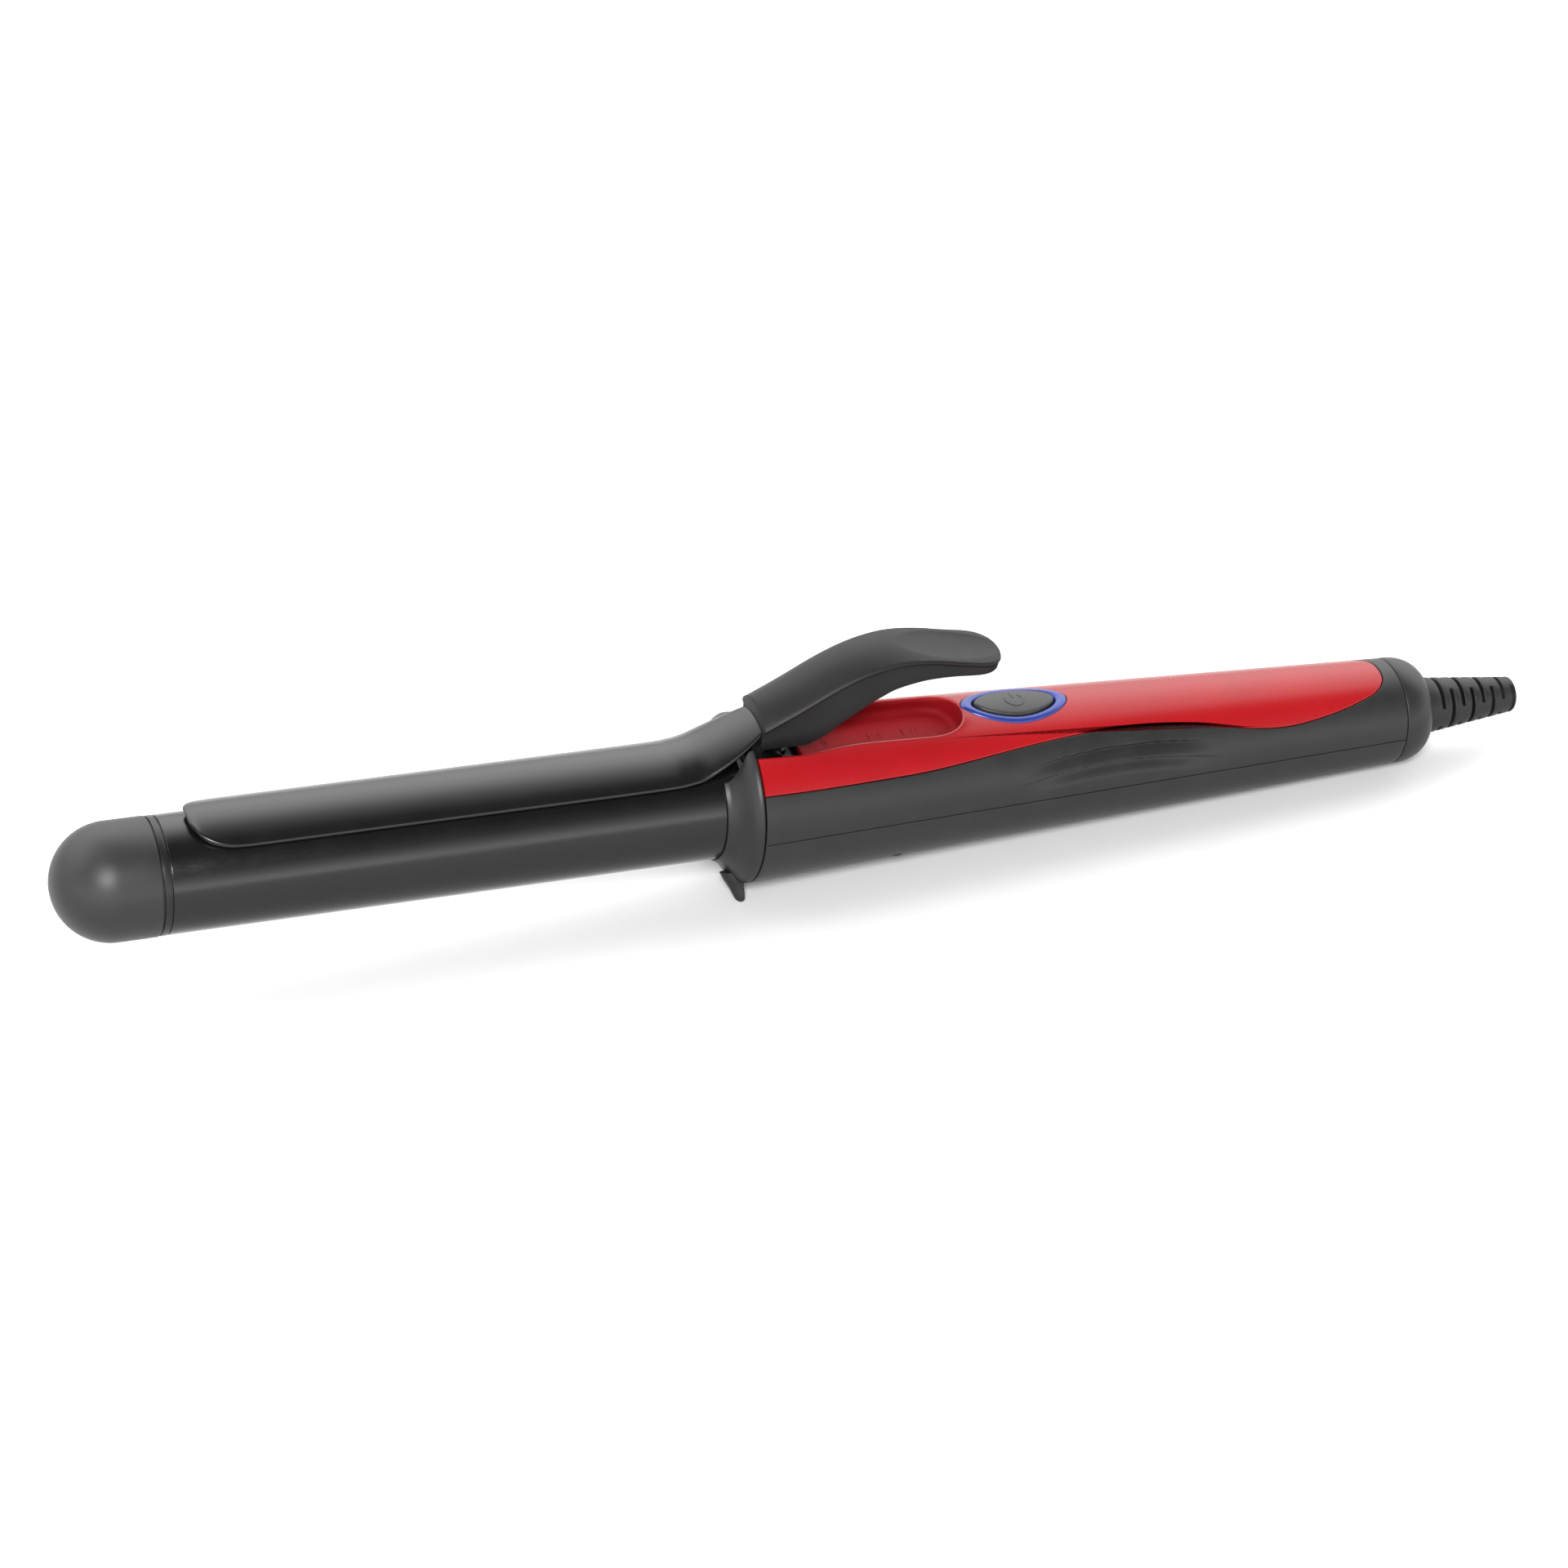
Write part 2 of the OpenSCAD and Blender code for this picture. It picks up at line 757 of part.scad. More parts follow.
module power_button() {
    at_seam("#2c2d2f") {
        intersection() {
            handle_cone(30, 100, -0.6);
            plan_prism(eye(9.5, 4.5), 13.2, big);
        }
        post([button_x, 0], stem_z, 13.4, 2.2);
    }
}

module switch_plunger() {
    at_seam("#d7d7d3")
        post([button_x, 0], switch_pit_z + button_travel + fit_gap, stem_z, 1.5);
}

module switch_body() {
    at_seam("#161618")
        difference() {
            box(button_x - 4.5, button_x + 4.5, -4, 4, board_top, stem_z - button_travel - 1.7);
            post([button_x, 0], switch_pit_z, big, 1.55);
        }
}

module control_board() {
    at_seam("#2c6b3c")
        difference() {
            box(board_x0, board_x1, -10, 10, board_z, board_top);
            for (p = board_screw_at)
                post(p, 0, big, 1.2);
        }
}

module filter_capacitor() {
    at_seam("#c69a2c")
        translate([0, 0, board_top + 4])
            rod(84, 97, 3.9);
}

module power_triac() {
    at_seam("#1b1b1d")
        difference() {
            box(100, 104, -4.8, 0.2, board_top, board_top + 6.4);
            translate([99, -2.3, board_top + 4.6])
                rotate([0, 90, 0])
                    cylinder(h = 6, r = 1.4);
        }
}

module board_resistors() {
    at_seam("#c9b48a")
        for (i = [0 : 3])
            translate([0, 5.5, board_top + 1.1])
                rod(71 + i * 6, 75 + i * 6, 1);
}

module indicator_led() {
    at_seam("#7d9be8") {
        post([78.5, 0], board_top, board_top + 3, 1.5);
        translate([78.5, 0, board_top + 3])
            sphere(r = 1.5);
    }
}

module board_screws() {
    at_seam("#b4b6b9")
        for (p = board_screw_at) {
            post(p, -4.5, board_top, 1);
            post(p, board_top, board_top + 1.1, 1.9);
        }
}

module supply_leads() {
    at_seam("#d9d9d6")
        for (s = [-1, 1])
            translate([0, supply_y * s, 0]) {
                translate([0, 0, -1.5])
                    rod(102, 136, lead_r);
                translate([102, 0, -1.5])
                    sphere(r = lead_r);
                post([102, 0], -1.5, board_z, lead_r);
            }
}

// ---- Swivel cord outlet ----

module contact_carrier() {
    at_seam("#e2e0d8")
        difference() {
            box(136, 141, -6.4, 6.4, -7, 7.4);
            box(135, 142, -1.4, 1.4, -5.6, -5);
            box(135, 142, -1.4, 1.4, 6, 6.6);
        }
}

module contact_blades() {
    at_seam("#c58a4a") {
        box(135.4, 150.4, -1.3, 1.3, -front_ring_r - 0.5, -front_ring_r - 0.1);
        box(135.4, 155.6, -1.3, 1.3, rear_ring_r + 0.1, rear_ring_r + 0.5);
    }
}

module end_cap() {
    flat = 1.5;
    lip_r = neck_r + 0.8;
    dome = [for (t = [0 : 9 : 90])
        [handle_len + flat + (cap_len - flat) * sin(t), lip_r + (rear_r - lip_r) * cos(t)]];
    at_seam("#232426")
        turned(concat(
            [[handle_len + seam_gap, rear_r]], dome,
            [[relief_x, neck_r + 0.05], [neck_x + 0.2, neck_r + 0.05], [neck_x + 0.2, 8.6],
                [150, 8.6], [150, 9.7], [handle_len + seam_gap, 9.7]]));
}

module strain_relief() {
    slot_pitch = 2.7;
    slot_w = 0.95;
    slot_count = 8;
    slot_x0 = relief_x + 3.7;
    slot_span = 130;
    slot_floor_r = cord_r + 0.7;
    tip_r = 4.1;
    round_r = 0.7;
    at_seam("#141416")
        difference() {
            turned(concat(
                [[159.5, cord_r], [159.5, 8.3], [neck_x, 8.3], [neck_x, neck_r],
                    [relief_x + 2.1, neck_r], [mouth_x - 2.4, tip_r + 0.15]],
                [for (t = [0 : 15 : 90])
                    [mouth_x - round_r + round_r * sin(t), tip_r - round_r + round_r * cos(t)]],
                [[mouth_x, cord_r]]));
            for (i = [0 : slot_count - 1], s = [0, 180])
                translate([slot_x0 + i * slot_pitch, 0, 0])
                    rotate([s + (i % 2) * 90, 0, 0])
                        rotate([0, 90, 0])
                            rotate([0, 0, 180 - slot_span / 2])
                                rotate_extrude(angle = slot_span)
                                    translate([slot_floor_r, 0])
                                        square([5, slot_w]);
        }
}

module swivel_drum() {
    at_seam("#d9d6cc")
        turned([
            [145, cord_r - 1], [145, front_ring_r - 0.6], [151.5, front_ring_r - 0.6],
            [151.5, rear_ring_r - 0.6], [159.5, rear_ring_r - 0.6], [159.5, cord_r - 1]
        ]);
}

module slip_rings() {
    at_seam("#c58a4a") {
        turned([[147.8, front_ring_r - 0.6], [147.8, front_ring_r], [150, front_ring_r],
            [150, front_ring_r - 0.6]]);
        turned([[153, rear_ring_r - 0.6], [153, rear_ring_r], [155.2, rear_ring_r],
            [155.2, rear_ring_r - 0.6]]);
    }
}

tip_cap();
tip_ring();
barrel_tube();
heater_shoe_upper();
heater_shoe_lower();
ptc_tablets();
electrode_strips();
insulation_films();
thermal_fuse();
heater_leads();
barrel_holder();
barrel_screws();
collar();
hinge_bracket();
bracket_screws();
hinge_pin();
torsion_spring();
clamp_plate();
thumb_lever();
lever_screws();
upper_shell();
lower_shell();
top_panel();
button_ring();
power_button();
switch_plunger();
switch_body();
control_board();
filter_capacitor();
power_triac();
board_resistors();
indicator_led();
board_screws();
shell_screws();
supply_leads();
contact_carrier();
contact_blades();
end_cap();
strain_relief();
swivel_drum();
slip_rings();
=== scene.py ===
"""Looks of the curling iron: smooth meshes, procedural materials, studio light and camera.

Lengths inside the functions are millimetres in the seam frame: x is 0 at the seam between
collar and handle, -X points to the tip, +Z to the thumb lever, and angles run from the top.
"""

import json
import math

import bmesh
import bpy
from mathutils import Matrix, Vector


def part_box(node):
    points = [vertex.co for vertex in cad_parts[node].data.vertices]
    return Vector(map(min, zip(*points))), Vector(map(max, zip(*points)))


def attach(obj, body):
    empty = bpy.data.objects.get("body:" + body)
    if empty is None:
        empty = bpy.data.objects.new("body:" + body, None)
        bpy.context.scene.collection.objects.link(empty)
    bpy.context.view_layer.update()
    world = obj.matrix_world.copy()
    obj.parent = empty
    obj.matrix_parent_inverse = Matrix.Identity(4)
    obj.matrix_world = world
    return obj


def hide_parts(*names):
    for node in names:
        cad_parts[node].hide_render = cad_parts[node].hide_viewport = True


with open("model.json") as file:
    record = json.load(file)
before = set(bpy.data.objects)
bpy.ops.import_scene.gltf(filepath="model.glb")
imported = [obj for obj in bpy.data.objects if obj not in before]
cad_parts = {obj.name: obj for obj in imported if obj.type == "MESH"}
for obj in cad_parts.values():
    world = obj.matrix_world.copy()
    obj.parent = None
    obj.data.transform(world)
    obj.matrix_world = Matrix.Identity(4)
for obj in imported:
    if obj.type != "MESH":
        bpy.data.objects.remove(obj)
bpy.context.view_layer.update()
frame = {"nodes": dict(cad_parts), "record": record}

MM = 0.001
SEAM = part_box("collar")[1].x


def mm(value):
    return value / MM


# ---- Driving dimensions, read from the frame ----

FRONT_R = mm(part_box("collar")[1].y)
REAR_R = mm(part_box("end_cap")[1].y)
BARREL_R = mm(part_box("barrel_tube")[1].y)
DOME_R = mm(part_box("tip_cap")[1].y)
HANDLE_LEN = mm(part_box("lower_shell")[1].x - SEAM)
RELIEF_X = mm(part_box("end_cap")[1].x - SEAM)
MOUTH_X = mm(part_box("strain_relief")[1].x - SEAM)
BARREL_X = mm(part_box("barrel_tube")[0].x - SEAM)
BARREL_END = mm(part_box("barrel_tube")[1].x - SEAM)
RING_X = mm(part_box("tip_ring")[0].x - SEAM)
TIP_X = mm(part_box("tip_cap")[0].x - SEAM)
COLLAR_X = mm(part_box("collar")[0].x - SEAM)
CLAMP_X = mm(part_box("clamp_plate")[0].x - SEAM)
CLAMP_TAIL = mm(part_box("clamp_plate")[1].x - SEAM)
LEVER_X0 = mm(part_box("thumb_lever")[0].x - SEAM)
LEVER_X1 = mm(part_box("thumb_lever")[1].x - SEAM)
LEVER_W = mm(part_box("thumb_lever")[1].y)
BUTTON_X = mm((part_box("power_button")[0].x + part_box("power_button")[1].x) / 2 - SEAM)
DOME_X = TIP_X + DOME_R
SEAM_GAP = 0.15
SHELL_T = 2.0
PANEL_T = 1.2
CLAMP_GAP = 0.6
CLAMP_T = 1.2
CLAMP_TOP_R = BARREL_R + CLAMP_GAP + CLAMP_T
NECK_R = 6.4
CORD_R = 3.0
SHELL_SCREWS = ((34, 9), (34, -9), (124, 0))
SCREW_HEAD_R = 2.5
COAT_ROUGH = 0.05

# Half widths of the panel and of the lever's recess, seen from above
PANEL_EDGE = [
    (0, 15.3), (12, 14.9), (26, 14.25), (39, 13.5), (52, 12.2), (65, 10.7), (78, 9.5),
    (91, 9.1), (104, 9.65), (116, 10.85), (127, 11), (138, 9.75), (146, 8), (150.6, 6.3),
    (152.8, 4), (153.4, 1.5), (153.4, 0),
]
RECESS_EDGE = [
    (-1, 8.8), (6, 8.8), (12, 8.7), (17, 8.1), (22, 7.5), (28, 7.3), (36, 7.3), (43, 7.2),
    (46.8, 6.2), (49, 4.4), (50, 2), (50.2, 0),
]
RECESS_FLOOR = 11.5

# Lines along the iron: clamp top above its straight part, clamp half width, and the lever's
# rim, web edge and crown
CLAMP_LINE = [
    (CLAMP_X, 0.45), (CLAMP_X + 1.2, 0.15), (CLAMP_X + 3, 0), (-110, 0), (-80, 0), (-50, 0),
    (-28, 0), (-18, 0.05), (-14.5, 0.3), (-11, 0.95), (-7, 2.6), (-3, 4.4), (1, 6.3), (6, 8.8),
    (12, 12), (18, 15.2),
]
CLAMP_WIDTH = [
    (CLAMP_X, 2.6), (CLAMP_X + 0.5, 3.9), (CLAMP_X + 1.8, 5.9), (CLAMP_X + 3.7, 7.35),
    (CLAMP_X + 6.2, 8.3), (CLAMP_X + 9, 8.7), (CLAMP_X + 14, 8.8), (-95, 8.8), (-60, 8.8),
    (-28, 8.8), (-14, 8.7), (-9, 8.4), (-5, 7.8), (-2, 7.05), (1, 5.9), (3, 5.2), (6, 4.6),
    (12, 4.6), (18, 4.6),
]
RIM_LINE = [
    (2.4, 21.8), (8, 24.7), (12.5, 27.2), (16, 29.2), (20, 31.2), (24, 32.8), (28, 33.9),
    (32, 34.5), (36, 34.5), (41, 33.9), (46, 32.9), (51, 32), (55, 31.4), (57.4, 31.1),
]
WEB_LINE = [
    (2.4, 16), (8, 15.9), (12.3, 16), (16.3, 17.7), (19.6, 20.2), (23.5, 22.8), (26.3, 24.6),
    (28.5, 25.8), (31.9, 27.4), (37.8, 28.6), (43.8, 28.8), (49.9, 28.4), (54, 28.2), (57.4, 28.3),
]
CROWN_LINE = [(2.4, 2.9), (10, 2.5), (20, 1.9), (30, 1.1), (40, 0.5), (57.4, 0.4)]


# ---- Curves ----

def handle_r(x):
    return FRONT_R + (REAR_R - FRONT_R) * x / HANDLE_LEN


def spline(points, steps):
    """Smooth curve through the points, with that many steps to a stretch."""
    out = []
    last = len(points) - 1
    for i in range(last):
        a, b = points[max(i - 1, 0)], points[i]
        c, d = points[i + 1], points[min(i + 2, last)]
        for k in range(steps):
            t = k / steps
            out.append(tuple(
                0.5 * (2 * q + (r - p) * t + (2 * p - 5 * q + 4 * r - s) * t * t
                       + (3 * q - p - 3 * r + s) * t ** 3)
                for p, q, r, s in zip(a, b, c, d)))
    out.append(tuple(points[last]))
    return out


def along(points, steps=12):
    """Function that gives the height of the smooth curve through the points at x."""
    curve = spline(points, steps)

    def value(x):
        if x <= curve[0][0]:
            return curve[0][1]
        for (x0, y0), (x1, y1) in zip(curve, curve[1:]):
            if x <= x1 and x1 > x0:
                return y0 + (y1 - y0) * (x - x0) / (x1 - x0)
        return curve[-1][1]

    return value


def resample(points, count):
    """The polyline again, with points an equal way apart."""
    lengths = [0.0]
    for p, q in zip(points, points[1:]):
        lengths.append(lengths[-1] + math.dist(p, q))
    out = []
    j = 0
    for i in range(count):
        want = lengths[-1] * i / (count - 1)
        while j < len(lengths) - 2 and lengths[j + 1] < want:
            j += 1
        span = max(lengths[j + 1] - lengths[j], 1e-9)
        t = (want - lengths[j]) / span
        out.append(tuple(p + (q - p) * t for p, q in zip(points[j], points[j + 1])))
    return out


def rounded(corners, steps=5):
    """Closed outline of (x, y, radius) corners, with each corner filleted to its radius."""
    out = []
    n = len(corners)
    for i, (x, y, r) in enumerate(corners):
        p = Vector((x, y))
        a = Vector(corners[i - 1][:2]) - p
        b = Vector(corners[(i + 1) % n][:2]) - p
        if r <= 0 or a.length < 1e-6 or b.length < 1e-6:
            out.append((x, y))
            continue
        half = a.angle(b) / 2
        if half > math.radians(88):
            out.append((x, y))
            continue
        cut = min(r / math.tan(half), a.length * 0.49, b.length * 0.49)
        radius = cut * math.tan(half)
        centre = p + (a.normalized() + b.normalized()).normalized() * (radius / math.sin(half))
        start = (p + a.normalized() * cut) - centre
        sweep = start.angle_signed((p + b.normalized() * cut) - centre)
        for k in range(steps + 1):
            v = start.copy()
            v.rotate(Matrix.Rotation(-sweep * k / steps, 2))
            out.append(tuple(centre + v))
    return out


def smooth(t):
    t = min(max(t, 0.0), 1.0)
    return t * t * (3 - 2 * t)


# ---- Meshes ----

def loft(rings, close=True, cap_start=True, cap_end=True):
    """Vertices and faces of a skin through rings of points."""
    n = len(rings[0])
    verts = [p for ring in rings for p in ring]
    faces = []
    for j in range(len(rings) - 1):
        for i in range(n if close else n - 1):
            k = (i + 1) % n
            faces.append((j * n + i, j * n + k, (j + 1) * n + k, (j + 1) * n + i))
    if cap_start:
        faces.append(tuple(range(n - 1, -1, -1)))
    if cap_end:
        faces.append(tuple((len(rings) - 1) * n + i for i in range(n)))
    return verts, faces


def lathe(profile, segments=160):
    """Solid of revolution about the long axis from a closed (x, radius) outline."""
    rings = []
    for k in range(segments + 1):
        a = 2 * math.pi * k / segments
        rings.append([(x, r * math.sin(a), r * math.cos(a)) for x, r in profile])
    return loft(rings, cap_start=False, cap_end=False)


def mirrored(shape):
    """The shape and its mirror image across the middle plane."""
    verts, faces = shape
    n = len(verts)
    return (verts + [(x, -y, z) for x, y, z in verts],
            faces + [tuple(n + i for i in reversed(f)) for f in faces])


def merged(*shapes):
    verts, faces = [], []
    for v, f in shapes:
        n = len(verts)
        verts += v
        faces += [tuple(n + i for i in face) for face in f]
    return verts, faces


def make_object(name, shape, weld=0.002):
    """Mesh object from a shape in millimetres, welded and with its faces turned outwards."""
    verts, faces = shape
    mesh = bpy.data.meshes.new(name)
    mesh.from_pydata([(SEAM + x * MM, y * MM, z * MM) for x, y, z in verts], [], faces)
    bm = bmesh.new()
    bm.from_mesh(mesh)
    bmesh.ops.remove_doubles(bm, verts=bm.verts, dist=weld * MM)
    bmesh.ops.dissolve_degenerate(bm, edges=bm.edges, dist=weld * MM * 0.5)
    bmesh.ops.recalc_face_normals(bm, faces=bm.faces)
    bm.to_mesh(mesh)
    bm.free()
    obj = bpy.data.objects.new(name, mesh)
    bpy.context.scene.collection.objects.link(obj)
    return obj


def shade(obj, angle=35):
    """Smooth shading that keeps edges sharper than the angle."""
    mesh = obj.data
    mesh.shade_smooth()
    mesh.set_sharp_from_angle(angle=math.radians(angle))


def boolean(obj, tool, operation="DIFFERENCE"):
    """Cuts the tool from obj, or joins it, and removes the tool."""
    mod = obj.modifiers.new("cut", "BOOLEAN")
    mod.operation = operation
    mod.solver = "EXACT"
    mod.object = tool
    evaluated = obj.evaluated_get(bpy.context.evaluated_depsgraph_get())
    mesh = bpy.data.meshes.new_from_object(evaluated)
    obj.modifiers.clear()
    old = obj.data
    obj.data = mesh
    bpy.data.meshes.remove(old)
    bpy.data.objects.remove(tool)
    return obj


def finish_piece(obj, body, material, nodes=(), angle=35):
    shade(obj, angle)
    obj.data.materials.clear()
    obj.data.materials.append(material)
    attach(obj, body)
    if nodes:
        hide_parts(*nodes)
    return obj


def box_shape(x0, x1, y0, y1, z0, z1):
    ring = [(y0, z0), (y1, z0), (y1, z1), (y0, z1)]
    return loft([[(x, y, z) for y, z in ring] for x in (x0, x1)])


def prism_shape(outline, z0, z1):
    return loft([[(x, y, z) for x, y in outline] for z in (z0, z1)])


# ---- Materials ----

def node_material(name, colour, rough, metallic=0.0, coat=0.0, specular=0.5,
                  grain_mm=0.25, grain_depth=0.006, stretch=1.0, smudge=0.05,
                  tint=0.12, patch_mm=9.0):
    """Principled material whose colour, roughness and bump vary over the surface.

    Grain is a fine noise of grain_mm, stretched along the iron by stretch, that bumps the
    surface by grain_depth millimetres. Patches of patch_mm shift the roughness by smudge and
    the colour by tint.
    """
    mat = bpy.data.materials.new(name)
    mat.use_nodes = True
    nodes, links = mat.node_tree.nodes, mat.node_tree.links
    shader = nodes["Principled BSDF"]
    shader.inputs["Metallic"].default_value = metallic
    shader.inputs["Coat Weight"].default_value = coat
    shader.inputs["Coat Roughness"].default_value = COAT_ROUGH
    shader.inputs["Specular IOR Level"].default_value = specular
    coords = nodes.new("ShaderNodeTexCoord")

    def noise(size, detail, stretched=1.0):
        mapping = nodes.new("ShaderNodeMapping")
        mapping.inputs["Scale"].default_value = (1 / (size * MM * stretched), 1 / (size * MM),
                                                 1 / (size * MM))
        links.new(coords.outputs["Object"], mapping.inputs["Vector"])
        texture = nodes.new("ShaderNodeTexNoise")
        texture.inputs["Scale"].default_value = 1.0
        texture.inputs["Detail"].default_value = detail
        texture.inputs["Roughness"].default_value = 0.6
        links.new(mapping.outputs["Vector"], texture.inputs["Vector"])
        return texture.outputs["Fac"]

    patches = noise(patch_mm, 4.0)
    grain = noise(grain_mm, 2.0, stretch)

    ramp = nodes.new("ShaderNodeValToRGB")
    dark = [c * (1 - tint) for c in colour]
    light = [min(c * (1 + tint), 1) for c in colour]
    ramp.color_ramp.elements[0].position = 0.35
    ramp.color_ramp.elements[0].color = (*dark, 1)
    ramp.color_ramp.elements[1].position = 0.65
    ramp.color_ramp.elements[1].color = (*light, 1)
    links.new(patches, ramp.inputs["Fac"])
    links.new(ramp.outputs["Color"], shader.inputs["Base Color"])

    both = nodes.new("ShaderNodeMath")
    both.operation = "ADD"
    links.new(patches, both.inputs[0])
    links.new(grain, both.inputs[1])
    span = nodes.new("ShaderNodeMapRange")
    span.inputs["From Min"].default_value = 0.7
    span.inputs["From Max"].default_value = 1.3
    span.inputs["To Min"].default_value = max(rough - smudge, 0.02)
    span.inputs["To Max"].default_value = min(rough + smudge, 1)
    links.new(both.outputs["Value"], span.inputs["Value"])
    links.new(span.outputs["Result"], shader.inputs["Roughness"])

    bump = nodes.new("ShaderNodeBump")
    bump.inputs["Strength"].default_value = 1.0
    bump.inputs["Distance"].default_value = grain_depth * MM
    links.new(grain, bump.inputs["Height"])
    links.new(bump.outputs["Normal"], shader.inputs["Normal"])
    return mat


MATERIALS = {
    "tip_plastic": dict(colour=(0.009, 0.009, 0.0092), rough=0.45, grain_depth=0.004,
                        grain_mm=0.22, specular=0.35),
    "black_barrel": dict(colour=(0.0022, 0.0022, 0.0024), rough=0.2, grain_depth=0.0005,
                         grain_mm=0.4, stretch=6.0, smudge=0.03, specular=0.36),
    "black_clamp": dict(colour=(0.0024, 0.0024, 0.0026), rough=0.22, grain_depth=0.0005,
                        grain_mm=0.4, stretch=6.0, smudge=0.03, specular=0.36),
    "ring_plastic": dict(colour=(0.004, 0.004, 0.0044), rough=0.35, grain_depth=0.002,
                         specular=0.3),
    "grip_plastic": dict(colour=(0.0098, 0.01, 0.0102), rough=0.4, grain_depth=0.005,
                         grain_mm=0.2, specular=0.26),
    "lever_plastic": dict(colour=(0.008, 0.0081, 0.0083), rough=0.45, grain_depth=0.004,
                          grain_mm=0.2, specular=0.14),
    "red_plastic": dict(colour=(0.21, 0.003, 0.005), rough=0.26, grain_depth=0.0003,
                        grain_mm=0.5, smudge=0.02, tint=0.05, patch_mm=22.0, specular=0.26),
    # Darker, almost unreflective copy of red_plastic for the faces in the lever's recess: painted
    # shade
    "red_recess_painted_shade": dict(colour=(0.15, 0.002, 0.004), rough=0.6, grain_depth=0.0003,
                       grain_mm=0.5, smudge=0.02, tint=0.05, patch_mm=22.0, specular=0.08),
    "blue_plastic": dict(colour=(0.012, 0.025, 0.16), rough=0.28, grain_depth=0.001,
                         tint=0.08, specular=0.5, metallic=0.3),
    "button_plastic": dict(colour=(0.016, 0.0162, 0.0164), rough=0.45, grain_depth=0.004,
                           grain_mm=0.18, specular=0.34),
    "relief_rubber": dict(colour=(0.0065, 0.0065, 0.007), rough=0.5, grain_depth=0.01,
                          grain_mm=0.3, specular=0.28),
    "aluminium": dict(colour=(0.72, 0.73, 0.75), rough=0.35, metallic=1.0, stretch=12.0,
                      grain_depth=0.004),
    "ptc_ceramic": dict(colour=(0.12, 0.13, 0.15), rough=0.8, grain_depth=0.02),
    "brass": dict(colour=(0.78, 0.56, 0.25), rough=0.32, metallic=1.0, stretch=8.0),
    "polyimide_film": dict(colour=(0.6, 0.28, 0.04), rough=0.2, coat=0.5),
    "lead_insulation": dict(colour=(0.7, 0.69, 0.66), rough=0.6),
    "fuse_ceramic": dict(colour=(0.72, 0.7, 0.64), rough=0.7, grain_depth=0.015),
    "holder_plastic": dict(colour=(0.3, 0.27, 0.22), rough=0.7, grain_depth=0.02),
    "dark_steel": dict(colour=(0.03, 0.03, 0.032), rough=0.45, metallic=1.0,
                       grain_depth=0.003),
    "steel": dict(colour=(0.62, 0.63, 0.65), rough=0.3, metallic=1.0, stretch=8.0,
                  grain_depth=0.003),
    "board": dict(colour=(0.02, 0.14, 0.05), rough=0.4, tint=0.25, patch_mm=3.0),
    "black_component": dict(colour=(0.015, 0.015, 0.016), rough=0.6, grain_depth=0.01),
    "white_plastic": dict(colour=(0.7, 0.69, 0.65), rough=0.5),
    "capacitor_film": dict(colour=(0.6, 0.38, 0.06), rough=0.25, coat=0.4),
    "resistor_body": dict(colour=(0.6, 0.48, 0.3), rough=0.55),
    "led_lens": dict(colour=(0.3, 0.45, 0.85), rough=0.1, coat=0.6),
}
mats = {slot: node_material(slot, **settings) for slot, settings in MATERIALS.items()}

for part in frame["record"]["subparts"]:
    node = frame["nodes"][part["node"]]
    node.data.materials.clear()
    node.data.materials.append(mats[part["material_slot"]])


# ---- Barrel and tip ----

def build_tip():
    spigot_r = DOME_R - 1.05
    dome = [(DOME_X - DOME_R * math.cos(math.radians(a)), DOME_R * math.sin(math.radians(a)))
            for a in range(0, 91, 3)]
    edge = [(RING_X - 0.35 + 0.35 * math.sin(math.radians(a)),
             DOME_R - 0.35 + 0.35 * math.cos(math.radians(a))) for a in range(0, 91, 15)]
    back = [(RING_X, spigot_r), (RING_X + 11.6, spigot_r), (RING_X + 12, spigot_r - 0.4),
            (RING_X + 12, DOME_R - 3), (DOME_X, DOME_R - 3), (DOME_X, 0)]
    tip = make_object("cool_tip", lathe(dome + edge + back, 192))
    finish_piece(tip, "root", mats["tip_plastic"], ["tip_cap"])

    groove = BARREL_R - 0.4
    outline = rounded([
        (RING_X, BARREL_R - 0.9, 0), (RING_X, groove, 0), (RING_X + 0.3, groove, 0),
        (RING_X + 0.3, BARREL_R, 0.15), (BARREL_X - 0.3, BARREL_R, 0.15),
        (BARREL_X - 0.3, groove, 0), (BARREL_X, groove, 0), (BARREL_X, BARREL_R - 0.9, 0)])
    ring = make_object("tip_band", lathe(outline, 192))
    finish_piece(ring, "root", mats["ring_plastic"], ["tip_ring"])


def build_barrel():
    bore = BARREL_R - 0.8
    outline = rounded([
        (BARREL_X, bore, 0), (BARREL_X, BARREL_R, 0.2), (BARREL_END, BARREL_R, 0.2),
        (BARREL_END, bore, 0)])
    tube = make_object("heated_barrel", lathe(outline, 256))
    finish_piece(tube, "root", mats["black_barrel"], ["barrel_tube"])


# ---- Collar with its rest feet ----

def foot_shape(side):
    """Tapered foot that stands out of the collar, 28 degrees off the bottom."""
    lean = math.radians(28)
    stations = [(15.8, 2.7, 2.5), (17.4, 2.35, 2.2), (18.4, 2.0, 1.9), (19.3, 1.7, 1.65),
                (20.2, 1.48, 1.45), (21.1, 1.3, 1.3), (21.9, 1.1, 1.1), (22.35, 0.82, 0.82),
                (22.62, 0.45, 0.45), (22.68, 0.12, 0.12)]
    rings = []
    for r, a, b in [tuple(p) for p in spline(stations, 3)]:
        ring = []
        for k in range(32):
            t = 2 * math.pi * k / 32
            x = -2.2 + 0.23 * (r - 16.4) + a * math.cos(t)
            w = b * math.sin(t)
            ring.append((min(x, 0.05),
                         side * (r * math.sin(lean) + w * math.cos(lean)),
                         -r * math.cos(lean) + w * math.sin(lean)))
        rings.append(ring)
    return loft(rings)


